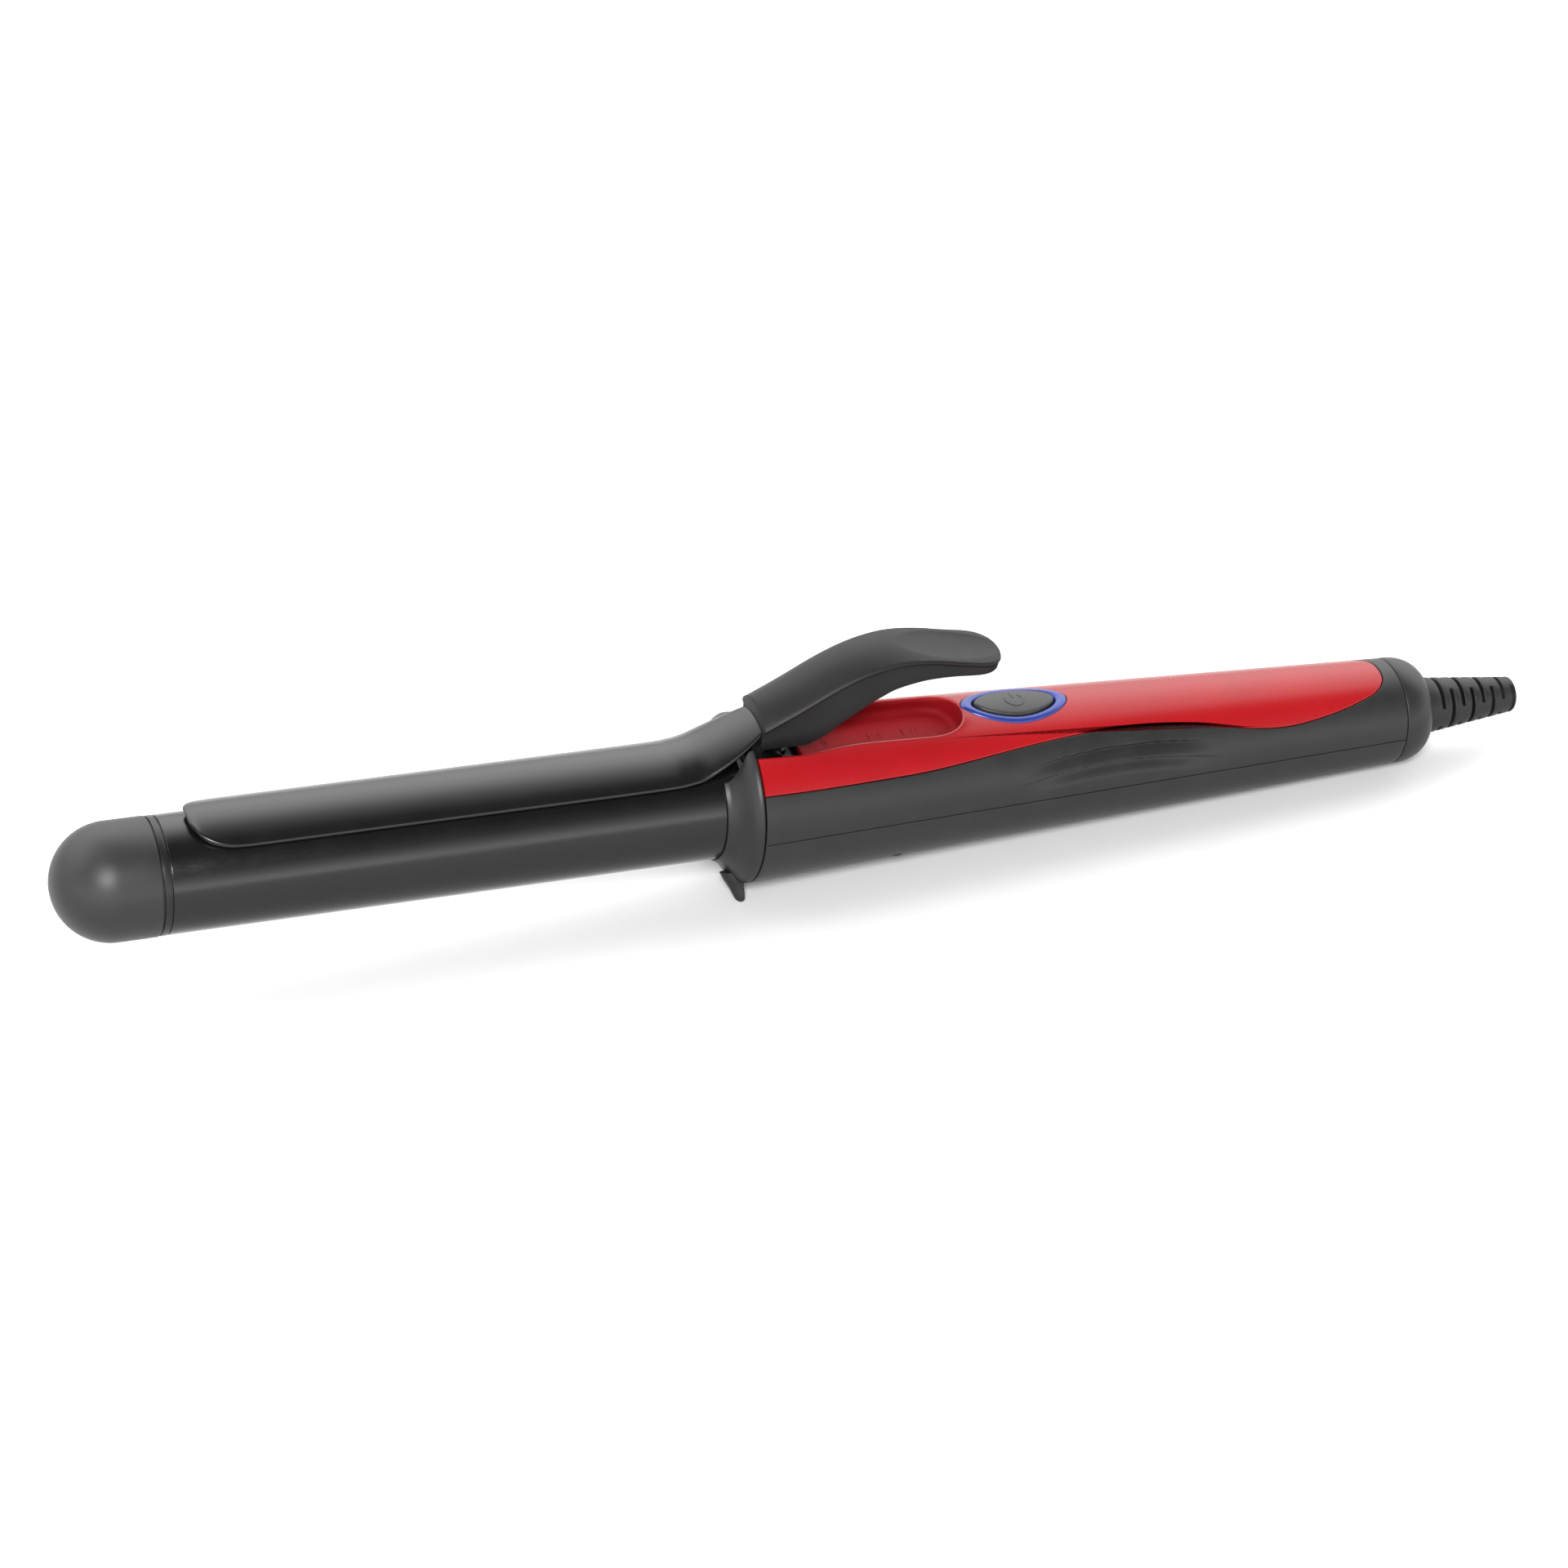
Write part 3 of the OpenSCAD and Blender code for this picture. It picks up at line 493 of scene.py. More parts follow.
def build_collar():
    lip = 9.6
    bore = BARREL_R + 0.1
    flare = spline([(COLLAR_X + 0.05, bore + 0.35), (-5.6, 13.3), (-4.6, 14.1), (-3.6, 15.4),
                    (-2.8, 16.6), (-2.0, 17.7), (-1.2, 18.35), (-0.55, FRONT_R)], 5)
    flare = [(x, min(r, FRONT_R)) for x, r in flare]
    rear = [(-0.55 + 0.45 * math.sin(math.radians(a)),
             FRONT_R - 0.45 + 0.45 * math.cos(math.radians(a))) for a in range(15, 91, 15)]
    outline = ([(COLLAR_X, bore)] + flare + rear
               + [(-0.1, lip), (BARREL_END + 0.1, lip), (BARREL_END + 0.1, bore)])
    collar = make_object("flared_collar", lathe(outline, 224))
    outline = [(-9, -8.4), (-2.9, -8), (-1.3, -7.15), (3, -7.15), (3, 7.15), (-1.3, 7.15),
               (-2.9, 8), (-9, 8.4)]
    boolean(collar, make_object("notch", prism_shape(outline, 10.2, 30)))
    for side in (-1, 1):
        boolean(collar, make_object("foot", foot_shape(side)), "UNION")
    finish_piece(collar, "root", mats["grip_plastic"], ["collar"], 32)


# ---- Clamp ----

def clamp_section(x, z_top, width, half_t, segments=28):
    """Section of the bent sheet with round edges."""
    mid_r = CLAMP_TOP_R - CLAMP_T / 2
    a = math.asin(min((width - half_t) / mid_r, 0.99))
    centre = z_top - CLAMP_TOP_R
    ring = []
    for k in range(segments + 1):
        p = -a + 2 * a * k / segments
        ring.append((x, (mid_r + half_t) * math.sin(p), centre + (mid_r + half_t) * math.cos(p)))
    for k in range(1, 8):
        q = math.pi * k / 8
        r = mid_r + half_t * math.cos(q)
        side = half_t * math.sin(q)
        ring.append((x, r * math.sin(a) + side * math.cos(a),
                     centre + r * math.cos(a) - side * math.sin(a)))
    for k in range(segments + 1):
        p = a - 2 * a * k / segments
        ring.append((x, (mid_r - half_t) * math.sin(p), centre + (mid_r - half_t) * math.cos(p)))
    for k in range(1, 8):
        q = math.pi - math.pi * k / 8
        r = mid_r + half_t * math.cos(q)
        side = half_t * math.sin(q)
        ring.append((x, -r * math.sin(a) - side * math.cos(a),
                     centre + r * math.cos(a) - side * math.sin(a)))
    return ring


def build_clamp():
    line = along(CLAMP_LINE)
    width = along(CLAMP_WIDTH)
    half_t = CLAMP_T / 2
    front = [CLAMP_X + half_t * (1 - math.cos(math.radians(a))) for a in range(10, 91, 10)]
    body = [CLAMP_X + half_t + 0.25 * k for k in range(1, 50)]
    middle = [body[-1] + (-22 - body[-1]) * k / 30 for k in range(1, 31)]
    arm = [-22 + 0.5 * k for k in range(1, int((CLAMP_TAIL + 22) * 2))]
    rings = []
    for x in front + body + middle + arm + [CLAMP_TAIL]:
        into = min((x - CLAMP_X) / half_t, 1)
        t = half_t * math.sqrt(max(1 - (1 - into) ** 2, 0.02))
        z = CLAMP_TOP_R + line(x) - (half_t - t)
        rings.append(clamp_section(x, z + (half_t - t), width(x), t))
    clamp = make_object("spring_clamp", loft(rings))
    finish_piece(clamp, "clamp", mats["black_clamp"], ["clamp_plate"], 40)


# ---- Thumb lever ----

def build_lever():
    rim, web, crown = along(RIM_LINE), along(WEB_LINE), along(CROWN_LINE)
    clamp_line, clamp_width = along(CLAMP_LINE), along(CLAMP_WIDTH)
    nose_r = 7.4
    nose_x = LEVER_X1 - nose_r
    plate_t = 1.6
    channel_end = 44
    edge_r = 0.55
    dimple = dict(x=45.2, half_l=12.2, half_w=5.5, depth=0.85)

    def plate_half(x):
        d = max(x - nose_x, 0) / nose_r
        return LEVER_W * max(1 - d ** 2.5, 0.0) ** 0.4

    def dimple_depth(x, y):
        rho = ((x - dimple["x"]) / dimple["half_l"]) ** 2 + (y / dimple["half_w"]) ** 2
        return dimple["depth"] * max(1 - rho, 0) ** 0.8

    def section(x, inset, w_scale=1.0):
        w = max(plate_half(x) * w_scale - inset, 0.25)
        z = rim(x)
        low = web(x) + inset * 0.6
        c = crown(x) * w / LEVER_W
        web_out = max(w - 0.8, 0.15)
        open_under = x < channel_end
        if open_under:
            web_in = max(web_out - 1.4, clamp_width(min(x, 6)) + 0.15)
        else:
            web_in = web_out * 0.6
        if x < CLAMP_TAIL + 0.4:
            ceiling = CLAMP_TOP_R + clamp_line(x) + 0.12
        elif open_under:
            ceiling = z - plate_t
        else:
            ceiling = low + 0.1
        ring = []
        top_steps = 36
        r = min(edge_r, w * 0.4)
        for k in range(top_steps + 1):
            u = 2 * k / top_steps - 1
            y = (w - r * 0.7) * u
            lift = c * (1 - u * u)
            ring.append((x, y, z - inset + lift - dimple_depth(x, y) - 0.03))
        for a in (30, 60, 90, 120, 150):
            ring.append((x, w - r + r * math.sin(math.radians(a)),
                         z - inset - 0.55 * plate_t * (1 - math.cos(math.radians(a))) / 2 - 0.1))
        ring += [(x, w - 0.45, z - plate_t * 0.72), (x, web_out + 0.12, z - plate_t * 0.86),
                 (x, web_out, z - plate_t * 1.05), (x, web_out, (z + low) / 2 - 0.4),
                 (x, web_out, low + 0.5), (x, web_out - 0.15, low + 0.12),
                 (x, web_out - 0.5, low), (x, min(web_in + 0.2, web_out - 0.55), low),
                 (x, web_in, low + 0.05)]
        low_steps = 8
        bend = CLAMP_TOP_R + 0.12
        for k in range(low_steps + 1):
            y = web_in * (1 - 2 * k / low_steps)
            drop = bend - math.sqrt(bend * bend - y * y) if x < CLAMP_TAIL + 0.4 else 0
            ring.append((x, y, max(ceiling - drop, low + 0.08)))
        right = ring[top_steps + 1:-(low_steps + 1)]
        ring += [(px, -py, pz) for px, py, pz in reversed(right)]
        return ring

    stations = [(LEVER_X0, 0.35), (LEVER_X0 + 0.08, 0.2), (LEVER_X0 + 0.2, 0.08),
                (LEVER_X0 + 0.4, 0.0)]
    x = LEVER_X0 + 0.8
    while x < nose_x:
        stations.append((x, 0.0))
        x += 0.45
    stations += [(CLAMP_TAIL + 0.39, 0.0), (CLAMP_TAIL + 0.41, 0.0), (channel_end - 0.01, 0.0),
                 (channel_end + 0.4, 0.0)]
    for a in range(0, 89, 3):
        stations.append((nose_x + nose_r * math.sin(math.radians(a)), 0.0))
    stations = sorted(set(stations))
    lever = make_object("thumb_lever_grip", loft([section(px, i) for px, i in stations]))
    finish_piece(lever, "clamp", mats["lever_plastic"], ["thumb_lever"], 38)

    # Knuckle on the hinge pin, and the block that ties it to the web
    pivot_x, pivot_z, knuckle_r, half = 5.0, 12.5, 3.0, 3.0
    rings = []
    for y, inset in ((-half, 0.3), (-half + 0.1, 0.1), (-half + 0.3, 0), (half - 0.3, 0),
                     (half - 0.1, 0.1), (half, 0.3)):
        rings.append([(pivot_x + (knuckle_r - inset) * math.cos(t),
                       y, pivot_z + (knuckle_r - inset) * math.sin(t))
                      for t in [2 * math.pi * k / 48 for k in range(48)]])
    knuckle = make_object("lever_knuckle", loft(rings))
    boolean(knuckle, make_object("stem", box_shape(3, 8, -2.9, 2.9, pivot_z, 17)), "UNION")
    boolean(knuckle, make_object("block", box_shape(3, 8, -5.7, 5.7, 16.6, 19)), "UNION")
    bore = [[(pivot_x + 1.3 * math.cos(t), y, pivot_z + 1.3 * math.sin(t))
             for t in [2 * math.pi * k / 40 for k in range(40)]] for y in (-8, 8)]
    boolean(knuckle, make_object("bore", loft(bore)))
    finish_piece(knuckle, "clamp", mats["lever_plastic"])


# ---- Handle ----

def cone_point(x, s, depth=0.0):
    """Point on the handle at x and at the arc length s from the top, sunk by depth."""
    r = handle_r(x)
    a = s / r
    return (x, (r - depth) * math.sin(a), (r - depth) * math.cos(a))


def plan_to_arc(x, y):
    r = handle_r(x)
    return r * math.asin(min(y / r, 1.0))


def outline_arc(edge, count, x_start):
    """Outline in (x, arc length) from x_start to its end on the middle line, and its outward
    normals."""
    curve = [(x, max(y, 0.0)) for x, y in spline(edge, 12)]
    start = along(edge)(x_start)
    curve = [(x_start, start)] + [p for p in curve if p[0] > x_start + 0.05]
    points = resample([(x, plan_to_arc(x, y)) for x, y in curve], count)
    normals = []
    for i in range(count):
        a, b = points[max(i - 1, 0)], points[min(i + 1, count - 1)]
        dx, ds = b[0] - a[0], b[1] - a[1]
        length = math.hypot(dx, ds)
        normals.append((-ds / length, dx / length))
    normals[0] = (0.0, 1.0)
    normals[-1] = (1.0, 0.0)
    return points, normals


GROOVES = [
    [(58, 63.5), (61.4, 62), (69, 57.3), (77, 54.3), (85, 53.0), (92.6, 53.4), (101, 56.2),
     (110, 61)],
    [(58, 75.2), (61.3, 73.9), (69, 69.6), (76.7, 66.9), (85, 66.0), (92.3, 66.9), (101, 70.5),
     (111, 76)],
]


def groove_depth(x, s, lines=tuple(along(g) for g in GROOVES)):
    """Depth of the grip's scallops: sharp at their upper line, fading out below it."""
    depth = 0.0
    for line, points in zip(lines, GROOVES):
        x0, x1 = points[0][0], points[-1][0]
        if not x0 < x < x1:
            continue
        r = handle_r(x)
        d = s - math.radians(line(x)) * r
        fade = smooth((x - x0) / 16) * smooth((x1 - x) / 14)
        if -0.22 < d < 3.3:
            rise = smooth((d + 0.22) / 0.32)
            fall = 1 - smooth(max(d - 0.1, 0) / 3.2)
            depth = max(depth, 0.8 * fade * rise * fall)
    return depth


def build_upper_shell():
    count = 420
    points, normals = outline_arc(PANEL_EDGE, count, SEAM_GAP)
    x_end = HANDLE_LEN - 0.02
    corner_x = 147.0
    rear = [i for i, p in enumerate(points) if p[0] > corner_x]
    first_rear = rear[0]
    gap, round_r, part_r = 0.1, 0.25, 0.22
    rows_between = 96
    rings = []
    for i, ((px, ps), (nx, ns)) in enumerate(zip(points, normals)):
        if i < first_rear:
            bx = SEAM_GAP + (x_end - SEAM_GAP) * (px - SEAM_GAP) / (corner_x - SEAM_GAP)
            bx = min(bx, x_end)
            bs = handle_r(bx) * math.pi / 2 - 0.06
            inward = (0.0, -1.0)
        else:
            t = (i - first_rear) / (count - 1 - first_rear)
            bx = x_end
            bs = (handle_r(x_end) * math.pi / 2 - 0.06) * (1 - t)
            inward = (-1.0, 0.0)
        if i == first_rear:
            inward = (-1.0, -1.0)

        def near_panel(offset, depth):
            return cone_point(px + nx * offset, max(ps + ns * offset, 0.0), depth)

        def near_border(offset, depth):
            return cone_point(bx + inward[0] * offset, max(bs + inward[1] * offset, 0.0), depth)

        ring = [near_panel(gap, PANEL_T + 0.1), near_panel(gap, 0.8)]
        for a in range(0, 91, 18):
            t = math.radians(a)
            ring.append(near_panel(gap + round_r * (1 - math.cos(t)),
                                   round_r * (1 - math.sin(t))))
        ax, a_s = px + nx * (gap + round_r), max(ps + ns * (gap + round_r), 0.0)
        cx, cs = bx + inward[0] * part_r, max(bs + inward[1] * part_r, 0.0)
        for k in range(1, rows_between):
            t = k / rows_between
            x, s = ax + (cx - ax) * t, a_s + (cs - a_s) * t
            ring.append(cone_point(x, s, groove_depth(x, s)))
        for a in range(90, -1, -18):
            t = math.radians(a)
            ring.append(near_border(part_r * (1 - math.cos(t)), part_r * (1 - math.sin(t))))
        ring += [near_border(0, 0.8), near_border(0, SHELL_T)]
        for k in range(1, 6):
            t = k / 6
            ring.append(cone_point(bx + (px - bx) * t, bs + (ps - bs) * t, SHELL_T))
        ring.append(near_panel(gap, SHELL_T))
        rings.append(ring)
    half = loft(rings, cap_start=True, cap_end=False)
    shell = make_object("upper_grip_shell", mirrored(half))
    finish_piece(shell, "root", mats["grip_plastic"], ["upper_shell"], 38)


def build_lower_shell():
    steps_x, steps_a = 120, 96
    part_r = 0.22
    start, end = SEAM_GAP, HANDLE_LEN - 0.02
    xs = [start, start + 0.06, start + 0.22]
    xs += [start + 0.22 + (end - start - 0.44) * k / steps_x for k in range(1, steps_x)]
    xs += [end - 0.22, end - 0.06, end]
    sunk = {0: part_r, 1: 0.07, 2: 0.0, len(xs) - 3: 0.0, len(xs) - 2: 0.07,
            len(xs) - 1: part_r}
    rings = []
    for i, x in enumerate(xs):
        r = handle_r(x)
        d = sunk.get(i, 0.0)
        quarter = r * math.pi / 2 + 0.06
        full = r * math.pi * 2 - quarter
        ring = [cone_point(x, quarter, SHELL_T), cone_point(x, quarter, 0.8)]
        for a in range(0, 91, 18):
            t = math.radians(a)
            ring.append(cone_point(x, quarter + part_r * (1 - math.cos(t)),
                                   d + part_r * (1 - math.sin(t))))
        for k in range(1, steps_a):
            s = quarter + part_r + (full - quarter - 2 * part_r) * k / steps_a
            ring.append(cone_point(x, s, d))
        for a in range(90, -1, -18):
            t = math.radians(a)
            ring.append(cone_point(x, full - part_r * (1 - math.cos(t)),
                                   d + part_r * (1 - math.sin(t))))
        ring += [cone_point(x, full, 0.8), cone_point(x, full, SHELL_T)]
        for k in range(1, 24):
            ring.append(cone_point(x, full + (quarter - full) * k / 24, SHELL_T))
        rings.append(ring)
    shell = make_object("lower_grip_shell", loft(rings))
    for x, y in SHELL_SCREWS:
        circle = [(x + SCREW_HEAD_R * math.cos(2 * math.pi * k / 48),
                   y + SCREW_HEAD_R * math.sin(2 * math.pi * k / 48)) for k in range(48)]
        boolean(shell, make_object("hole", prism_shape(circle, -22, -7.2)))
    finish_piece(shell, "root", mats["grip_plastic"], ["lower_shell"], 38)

    # Sleeves round the screw holes, inside the shell
    for number, (x, y) in enumerate(SHELL_SCREWS):
        z_low = -math.sqrt(max((handle_r(x) - SHELL_T + 0.3) ** 2 - (abs(y) + 0.5) ** 2, 1))
        rings = []
        for k in range(49):
            t = 2 * math.pi * k / 48
            c, s = math.cos(t), math.sin(t)
            rings.append([(x + q * c, y + q * s, z) for q, z in (
                (3.4, z_low), (3.4, -0.1), (1.5, -0.1), (1.5, -7), (2.52, -7), (2.52, z_low))])
        boss = make_object(f"screw_boss_{number}", loft(rings, cap_start=False, cap_end=False))
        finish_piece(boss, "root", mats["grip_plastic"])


def eye(a, b, count=120):
    """Eye outline round the button's centre, with half length a and half width b."""
    out = []
    for k in range(count):
        t = 2 * math.pi * k / count
        c, s = math.cos(t), math.sin(t)
        out.append((BUTTON_X + a * math.copysign(abs(c) ** 1.08, c),
                    b * math.copysign(abs(s) ** 1.12, s)))
    return out


def build_panel():
    count = 300
    outer, outer_n = outline_arc(PANEL_EDGE, count, SEAM_GAP)
    inner, inner_n = outline_arc(RECESS_EDGE, count, SEAM_GAP)
    rim_r, wall_r, edge_r = 0.9, 1.6, 0.4
    rows = 44
    rings = []
    for i in range(count):
        (ox, os_), (onx, ons) = outer[i], outer_n[i]
        (ix, is_), (inx, ins) = inner[i], inner_n[i]
        centre_x = min(ix, 43.0)

        def rim(offset, depth):
            return cone_point(ix + inx * offset, max(is_ + ins * offset, 0.0), depth)

        def floor(t, lift=0.0, below=0.0):
            """Point on the floor, t of the way from the middle line to the wall."""
            wx, wy, _ = cone_point(ix - inx * 0.35, max(is_ - ins * 0.35, 0.0), 0)
            return (centre_x + (wx - centre_x) * t, wy * t, RECESS_FLOOR + lift - below)

        def edge(offset, depth):
            return cone_point(ox - onx * offset, max(os_ - ons * offset, 0.0), depth)

        wx, wy, _ = cone_point(ix, is_, 0)
        reach = max(math.hypot(wx - centre_x, wy), 1.0)
        ring = [floor(t) for t in (0.0, 0.25, 0.5)]
        fillet = wall_r / reach
        for a in range(0, 91, 15):
            t = math.radians(a)
            ring.append(floor(1 - fillet * (1 - math.sin(t)), wall_r * (1 - math.cos(t))))
        wall = rim(0, rim_r)
        foot = ring[-1]
        for k in (1, 2, 3):
            t = k / 4
            ring.append(tuple(f + (w - f) * t for f, w in zip(foot, wall)))
        for a in range(0, 91, 15):
            t = math.radians(a)
            ring.append(rim(rim_r * (1 - math.cos(t)), rim_r * (1 - math.sin(t))))
        ax, a_s = ix + inx * rim_r, max(is_ + ins * rim_r, 0.0)
        cx, cs = ox - onx * edge_r, max(os_ - ons * edge_r, 0.0)
        for k in range(1, rows):
            t = k / rows
            ring.append(cone_point(ax + (cx - ax) * t, a_s + (cs - a_s) * t))
        for a in range(90, -1, -15):
            t = math.radians(a)
            ring.append(edge(edge_r * (1 - math.cos(t)), edge_r * (1 - math.sin(t))))
        ring += [edge(0, PANEL_T)]
        bx, bs = ix + inx * 1.1, max(is_ + ins * 1.1, 0.0)
        for k in range(1, 5):
            t = k / 5
            ring.append(cone_point(ox + (bx - ox) * t, os_ + (bs - os_) * t, PANEL_T))
        x1, y1, z1 = cone_point(bx, bs, PANEL_T)
        ring += [(x1, y1, z1), (x1, y1, RECESS_FLOOR - 1.2), (centre_x, 0.0, RECESS_FLOOR - 1.2)]
        rings.append(ring)
    half = loft(rings, cap_start=True, cap_end=False)
    panel = make_object("inset_panel", mirrored(half))
    boolean(panel, make_object("hole", prism_shape(eye(12.7, 6.5), 5, 30)))
    boolean(panel, make_object("well", box_shape(-2, 13, -8.0, 8.0, 8, RECESS_FLOOR + 0.9)))
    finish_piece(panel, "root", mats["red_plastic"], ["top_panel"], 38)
    # Faces sunk into the lever's recess take the darker, duller copy of the red: painted shade
    # where the recess lies in shadow
    panel.data.materials.append(mats["red_recess_painted_shade"])
    recess_depth = 0.5
    for poly in panel.data.polygons:
        c = poly.center
        if handle_r(mm(c.x - SEAM)) - mm(math.hypot(c.y, c.z)) > recess_depth:
            poly.material_index = 1
    smooth_cone(panel)


def smooth_cone(obj):
    """Gives the faces that lie on the handle's cone the cone's own normals."""
    mesh = obj.data
    slope = (REAR_R - FRONT_R) / HANDLE_LEN
    on_cone = []
    tolerance = 0.05
    for poly in mesh.polygons:
        corners = [mesh.vertices[i].co for i in poly.vertices]
        on_cone.append(all(abs(mm(math.hypot(v.y, v.z)) - handle_r(mm(v.x - SEAM))) < tolerance
                           for v in corners))
    normals = [Vector((0, 0, 0))] * len(mesh.loops)
    for poly, flag in zip(mesh.polygons, on_cone):
        if not flag:
            continue
        for li in poly.loop_indices:
            v = mesh.vertices[mesh.loops[li].vertex_index].co
            r = math.hypot(v.y, v.z)
            normals[li] = Vector((-slope, v.y / r, v.z / r)).normalized()
    mesh.normals_split_custom_set(normals)


# ---- Power button ----

def lifted(x, y, h):
    """Point h above the handle's surface over (x, y)."""
    r = handle_r(x) + h
    return (x, y, math.sqrt(max(r * r - y * y, 0)))


def build_button():
    profile = [(0.0, -2.4), (0.0, -0.25), (0.05, -0.05), (0.2, 0.16), (0.5, 0.3), (0.9, 0.36),
               (1.25, 0.34), (1.6, 0.24), (1.9, 0.08), (2.05, -0.1), (2.1, -0.3), (2.1, -2.4)]
    rings = []
    for d, h in profile:
        narrow = d * 0.78
        rings.append([lifted(x, y, h) for x, y in eye(12.6 - d * 1.28, 6.4 - narrow)])
    rings.append(rings[0])
    ring = make_object("button_bezel", loft(rings, cap_start=False, cap_end=False))
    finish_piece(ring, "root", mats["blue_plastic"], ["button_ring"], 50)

    a, b = 9.5, 4.45
    loops = [(1.0, -2.6), (1.0, 0.0), (0.994, 0.22), (0.976, 0.38), (0.95, 0.47)]
    loops += [(s, 0.5 + 0.08 * (1 - s)) for s in (0.9, 0.8, 0.65, 0.5, 0.35, 0.2, 0.08)]
    rings = [[lifted(x, y, h) for x, y in eye(a * s, b * s)] for s, h in loops]
    cap = make_object("power_key", loft(rings, cap_end=True))
    stem = [[(BUTTON_X + 2.2 * math.cos(t), 2.2 * math.sin(t), z)
             for t in [2 * math.pi * k / 40 for k in range(40)]] for z in (11.5, 14)]
    boolean(cap, make_object("stem", loft(stem)), "UNION")
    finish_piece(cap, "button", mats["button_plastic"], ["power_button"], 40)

    # Generic power sign, an open ring with a bar, embossed on the key
    def bead(path, width, height):
        rings_ = []
        for i, (x, y) in enumerate(path):
            p, q = path[max(i - 1, 0)], path[min(i + 1, len(path) - 1)]
            dx, dy = q[0] - p[0], q[1] - p[1]
            length = math.hypot(dx, dy)
            nx, ny = -dy / length, dx / length
            end = min(i, len(path) - 1 - i)
            w = width * (1 if end > 1 else (0.55, 0.88)[end])
            ring_ = []
            for k in range(10):
                t = 2 * math.pi * k / 10
                off, up = w / 2 * math.cos(t), height * math.sin(t)
                ring_.append(lifted(x + nx * off, y + ny * off, 0.54 + up))
            rings_.append(ring_)
        return loft(rings_)

    arc = [(BUTTON_X + 2.1 * math.cos(math.radians(a)), 2.1 * math.sin(math.radians(a)))
           for a in range(130, 411, 7)]
    bar = [(BUTTON_X, 0.5 + 0.2 * k) for k in range(12)]
    sign = make_object("power_sign", merged(bead(arc, 0.55, 0.16), bead(bar, 0.55, 0.16)))
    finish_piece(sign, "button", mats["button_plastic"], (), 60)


# ---- End cap and cord outlet ----

def build_end_cap():
    x0 = HANDLE_LEN + SEAM_GAP
    lip_r = 7.2
    flat = 1.5
    length = RELIEF_X - HANDLE_LEN
    dome = [(HANDLE_LEN + flat + (length - flat) * math.sin(math.radians(a)),
             lip_r + (REAR_R - lip_r) * math.cos(math.radians(a))) for a in range(0, 91, 4)]
    mouth = [(RELIEF_X, lip_r - 0.1), (RELIEF_X - 0.1, 6.55), (RELIEF_X - 0.4, 6.45),
             (162.8, 6.45), (162.8, 8.6), (150, 8.6), (150, 9.7), (x0, 9.7)]
    front = [(x0 + 0.3 - 0.3 * math.cos(math.radians(a)),
              REAR_R - 0.3 + 0.3 * math.sin(math.radians(a))) for a in range(0, 90, 15)]
    cap = make_object("rear_cap", lathe(front + dome + mouth, 192))
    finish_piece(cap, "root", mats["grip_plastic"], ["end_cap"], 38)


def build_relief():
    tip_r = 4.1
    slot_w, pitch, slots = 0.95, 2.7, 8
    floor_r = 3.75
    first = RELIEF_X + 3.7
    half_span, ramp = math.radians(65), math.radians(5)
    round_x = MOUTH_X - 0.7

    def outer(x):
        if x <= RELIEF_X + 2.1:
            return NECK_R
        if x <= MOUTH_X - 2.4:
            t = (x - RELIEF_X - 2.1) / (MOUTH_X - 2.4 - RELIEF_X - 2.1)
            return NECK_R + (tip_r + 0.15 - NECK_R) * t
        if x <= round_x:
            t = (x - MOUTH_X + 2.4) / 1.7
            return tip_r + 0.15 - 0.15 * t
        d = (x - round_x) / 0.7
        return tip_r - 0.7 + 0.7 * math.sqrt(max(1 - d * d, 0))

    xs = [162.7, 165, RELIEF_X, RELIEF_X + 0.5, RELIEF_X + 1.2, RELIEF_X + 2.1]
    for i in range(slots):
        x0 = first + i * pitch
        xs += [x0 - 0.22, x0 - 0.12, x0 - 0.04, x0, x0 + 0.05, x0 + 0.15, x0 + slot_w / 2,
               x0 + slot_w - 0.15, x0 + slot_w - 0.05, x0 + slot_w, x0 + slot_w + 0.04,
               x0 + slot_w + 0.12, x0 + slot_w + 0.22]
    xs += [round_x + 0.7 * math.sin(math.radians(a)) for a in range(0, 91, 15)]
    xs = sorted(x for x in set(xs) if x <= MOUTH_X)

    def slot_depth(x, phi):
        """How deep the slots go at x and phi, from 0 to 1, with rolled edges."""
        deepest = 0.0
        for i in range(slots):
            x0 = first + i * pitch
            d = min(x - x0, x0 + slot_w - x)
            if d < -0.22:
                continue
            across = 1.0 if d >= 0.05 else (0.0 if d <= -0.22 else 0.07 * ((d + 0.22) / 0.22) ** 2)
            if 0 <= d < 0.05:
                across = 0.07 + 0.93 * d / 0.05
            centre = 0.0 if i % 2 == 0 else math.pi / 2
            off = abs((phi - centre + math.pi / 2) % math.pi - math.pi / 2)
            around = smooth((half_span - off) / ramp + 0.5)
            deepest = max(deepest, across * around)
        return deepest

    segments = 180
    rings = []
    for x in xs:
        ring = []
        for k in range(segments):
            phi = 2 * math.pi * k / segments
            r = outer(x)
            r -= (r - floor_r) * slot_depth(x, phi)
            ring.append((x, r * math.sin(phi), r * math.cos(phi)))
        rings.append(ring)
    for x, r in ((MOUTH_X, CORD_R + 0.12), (MOUTH_X - 0.12, CORD_R), (159.5, CORD_R),
                 (159.5, 8.3), (162.6, 8.3), (162.6, NECK_R)):
        rings.append([(x, r * math.sin(2 * math.pi * k / segments),
                       r * math.cos(2 * math.pi * k / segments)) for k in range(segments)])
    rings.append(rings[0])
    relief = make_object("cord_relief", loft(rings, cap_start=False, cap_end=False))
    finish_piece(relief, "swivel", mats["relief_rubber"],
                 ["strain_relief"], 45)


build_tip()
build_barrel()
build_collar()
build_clamp()
build_lever()
build_upper_shell()
build_lower_shell()
build_panel()
build_button()
build_end_cap()
build_relief()


# ---- Floor, light and camera ----

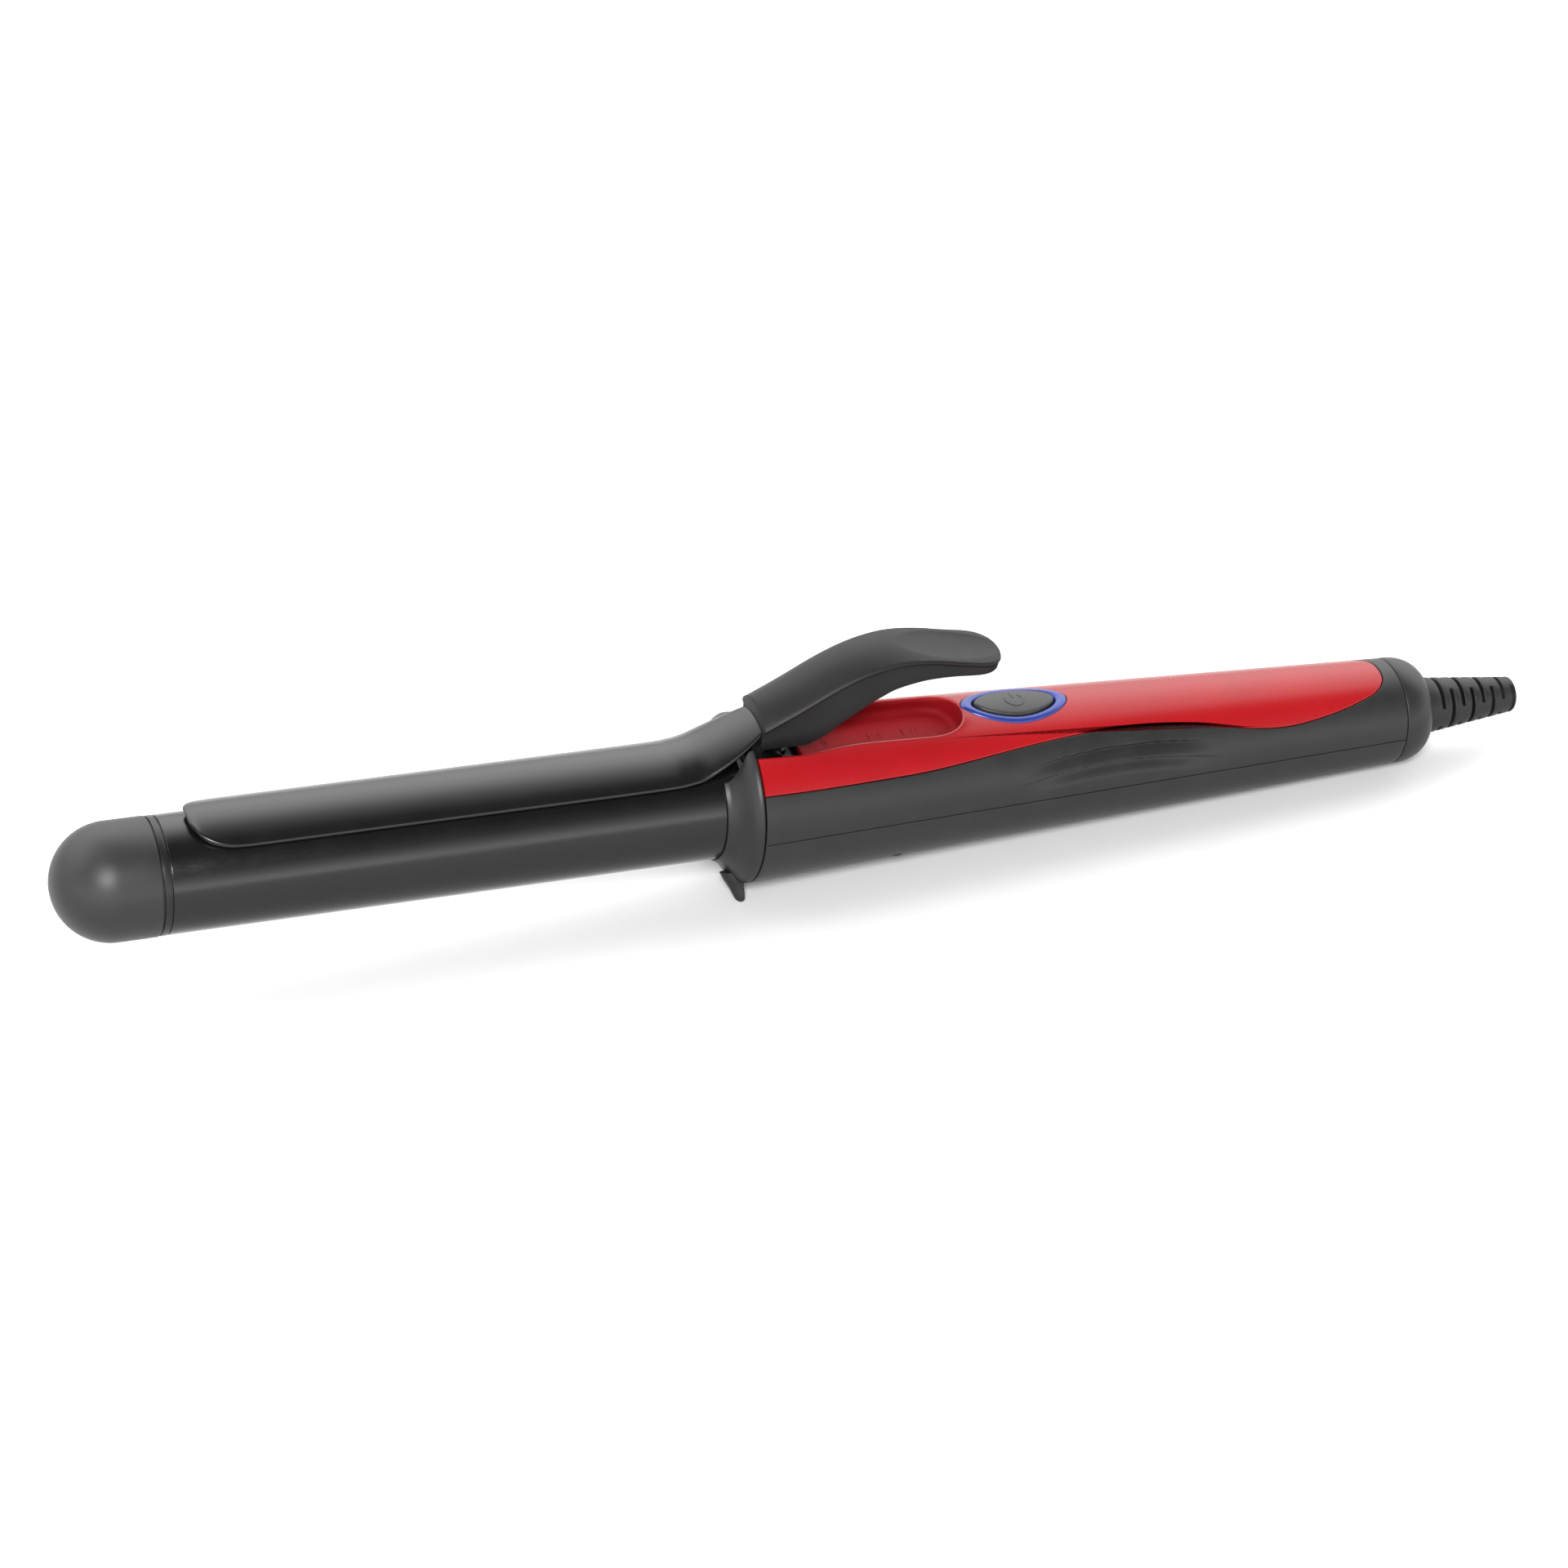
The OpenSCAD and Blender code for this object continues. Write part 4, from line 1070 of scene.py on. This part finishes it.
def build_floor():
    """Counter top that the rest feet and the end cap lie on."""
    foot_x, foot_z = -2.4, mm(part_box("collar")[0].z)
    cap_x, cap_z = 158.0, -REAR_R
    slope = math.atan2(cap_z - foot_z, cap_x - foot_x)
    size = 6.0
    mesh = bpy.data.meshes.new("floor")
    mesh.from_pydata([(-size, -size, 0), (size, -size, 0), (size, size, 0), (-size, size, 0)],
                     [], [(0, 1, 2, 3)])
    floor = bpy.data.objects.new("floor", mesh)
    bpy.context.scene.collection.objects.link(floor)
    floor.rotation_euler = (0, -slope, 0)
    drop = 0.15
    floor.location = (SEAM + foot_x * MM, 0, (foot_z - drop) * MM)
    mat = node_material("floor_white", (0.58, 0.58, 0.58), 0.75, tint=0.006, smudge=0.05,
                        grain_mm=2.0, grain_depth=0.0, specular=0.2)
    mesh.materials.append(mat)


def area_light(name, target, azimuth, elevation, distance, size, power):
    """Soft box that looks at the target. Azimuth 0 is in front, on the -Y side."""
    a, e = math.radians(azimuth), math.radians(elevation)
    back = Vector((math.sin(a) * math.cos(e), -math.cos(a) * math.cos(e), math.sin(e)))
    light = bpy.data.lights.new(name, "AREA")
    light.shape = "RECTANGLE"
    light.size, light.size_y = size
    light.energy = power
    obj = bpy.data.objects.new(name, light)
    obj.location = target + back * distance
    obj.rotation_mode = "QUATERNION"
    obj.rotation_quaternion = (-back).to_track_quat("-Z", "Y")
    bpy.context.scene.collection.objects.link(obj)
    return obj


def build_light():
    """White surroundings, brightest at the horizon in front and higher up behind, dark overhead,
    and a soft box beside the camera."""
    middle = Vector((SEAM, 0, 0))
    area_light("front_box", middle, -27, 40, 1.5, (0.34, 0.34), 30)

    world = bpy.data.worlds.new("studio")
    bpy.context.scene.world = world
    world.use_nodes = True
    nodes, links = world.node_tree.nodes, world.node_tree.links
    coords = nodes.new("ShaderNodeTexCoord")
    split = nodes.new("ShaderNodeSeparateXYZ")
    links.new(coords.outputs["Generated"], split.inputs["Vector"])

    def ramp(stops):
        node = nodes.new("ShaderNodeValToRGB")
        points = node.color_ramp.elements
        while len(points) < len(stops):
            points.new(0.5)
        for point, (position, level) in zip(points, stops):
            point.position = position
            point.color = (level, level, level, 1)
        links.new(split.outputs["Z"], node.inputs["Fac"])
        return node.outputs["Color"]

    # Level against the sine of the elevation, in front of the iron and behind it
    front = ramp([(0.0, 0.95), (0.12, 0.85), (0.3, 0.42), (0.5, 0.14), (0.75, 0.04), (1.0, 0.05)])
    rear = ramp([(0.0, 0.2), (0.25, 0.5), (0.5, 0.8), (0.7, 0.95), (0.85, 0.75), (0.94, 0.35),
                 (1.0, 0.05)])
    side = nodes.new("ShaderNodeMapRange")
    side.inputs["From Min"].default_value = -0.12
    side.inputs["From Max"].default_value = 0.12
    links.new(split.outputs["Y"], side.inputs["Value"])
    mix = nodes.new("ShaderNodeMix")
    mix.data_type = "RGBA"
    links.new(side.outputs["Result"], mix.inputs["Factor"])
    links.new(front, mix.inputs["A"])
    links.new(rear, mix.inputs["B"])
    background = nodes["Background"]
    links.new(mix.outputs["Result"], background.inputs["Color"])
    background.inputs["Strength"].default_value = 4.7


def build_camera():
    """Camera at the viewing angle of a product shot, rolled so that the tip points down left."""
    azimuth, elevation, roll = math.radians(-24.32), math.radians(34.47), math.radians(6.735)
    distance = 0.9373
    target = Vector((SEAM + 0.010, -0.002, 0.0034))
    back = Vector((math.sin(azimuth) * math.cos(elevation),
                   -math.cos(azimuth) * math.cos(elevation), math.sin(elevation)))
    right = Vector((0, 0, 1)).cross(back).normalized()
    up = back.cross(right)
    rolled_right = right * math.cos(roll) + up * math.sin(roll)
    rolled_up = up * math.cos(roll) - right * math.sin(roll)
    data = bpy.data.cameras.new("camera")
    data.lens = 100
    data.sensor_width = 36
    data.clip_start = 0.01
    data.clip_end = 50
    camera = bpy.data.objects.new("camera", data)
    axes = Matrix((rolled_right, rolled_up, back)).transposed().to_4x4()
    camera.matrix_world = Matrix.Translation(target + back * distance) @ axes
    bpy.context.scene.collection.objects.link(camera)
    bpy.context.scene.camera = camera


build_floor()
build_light()
build_camera()
bpy.context.scene.view_settings.view_transform = "Standard"
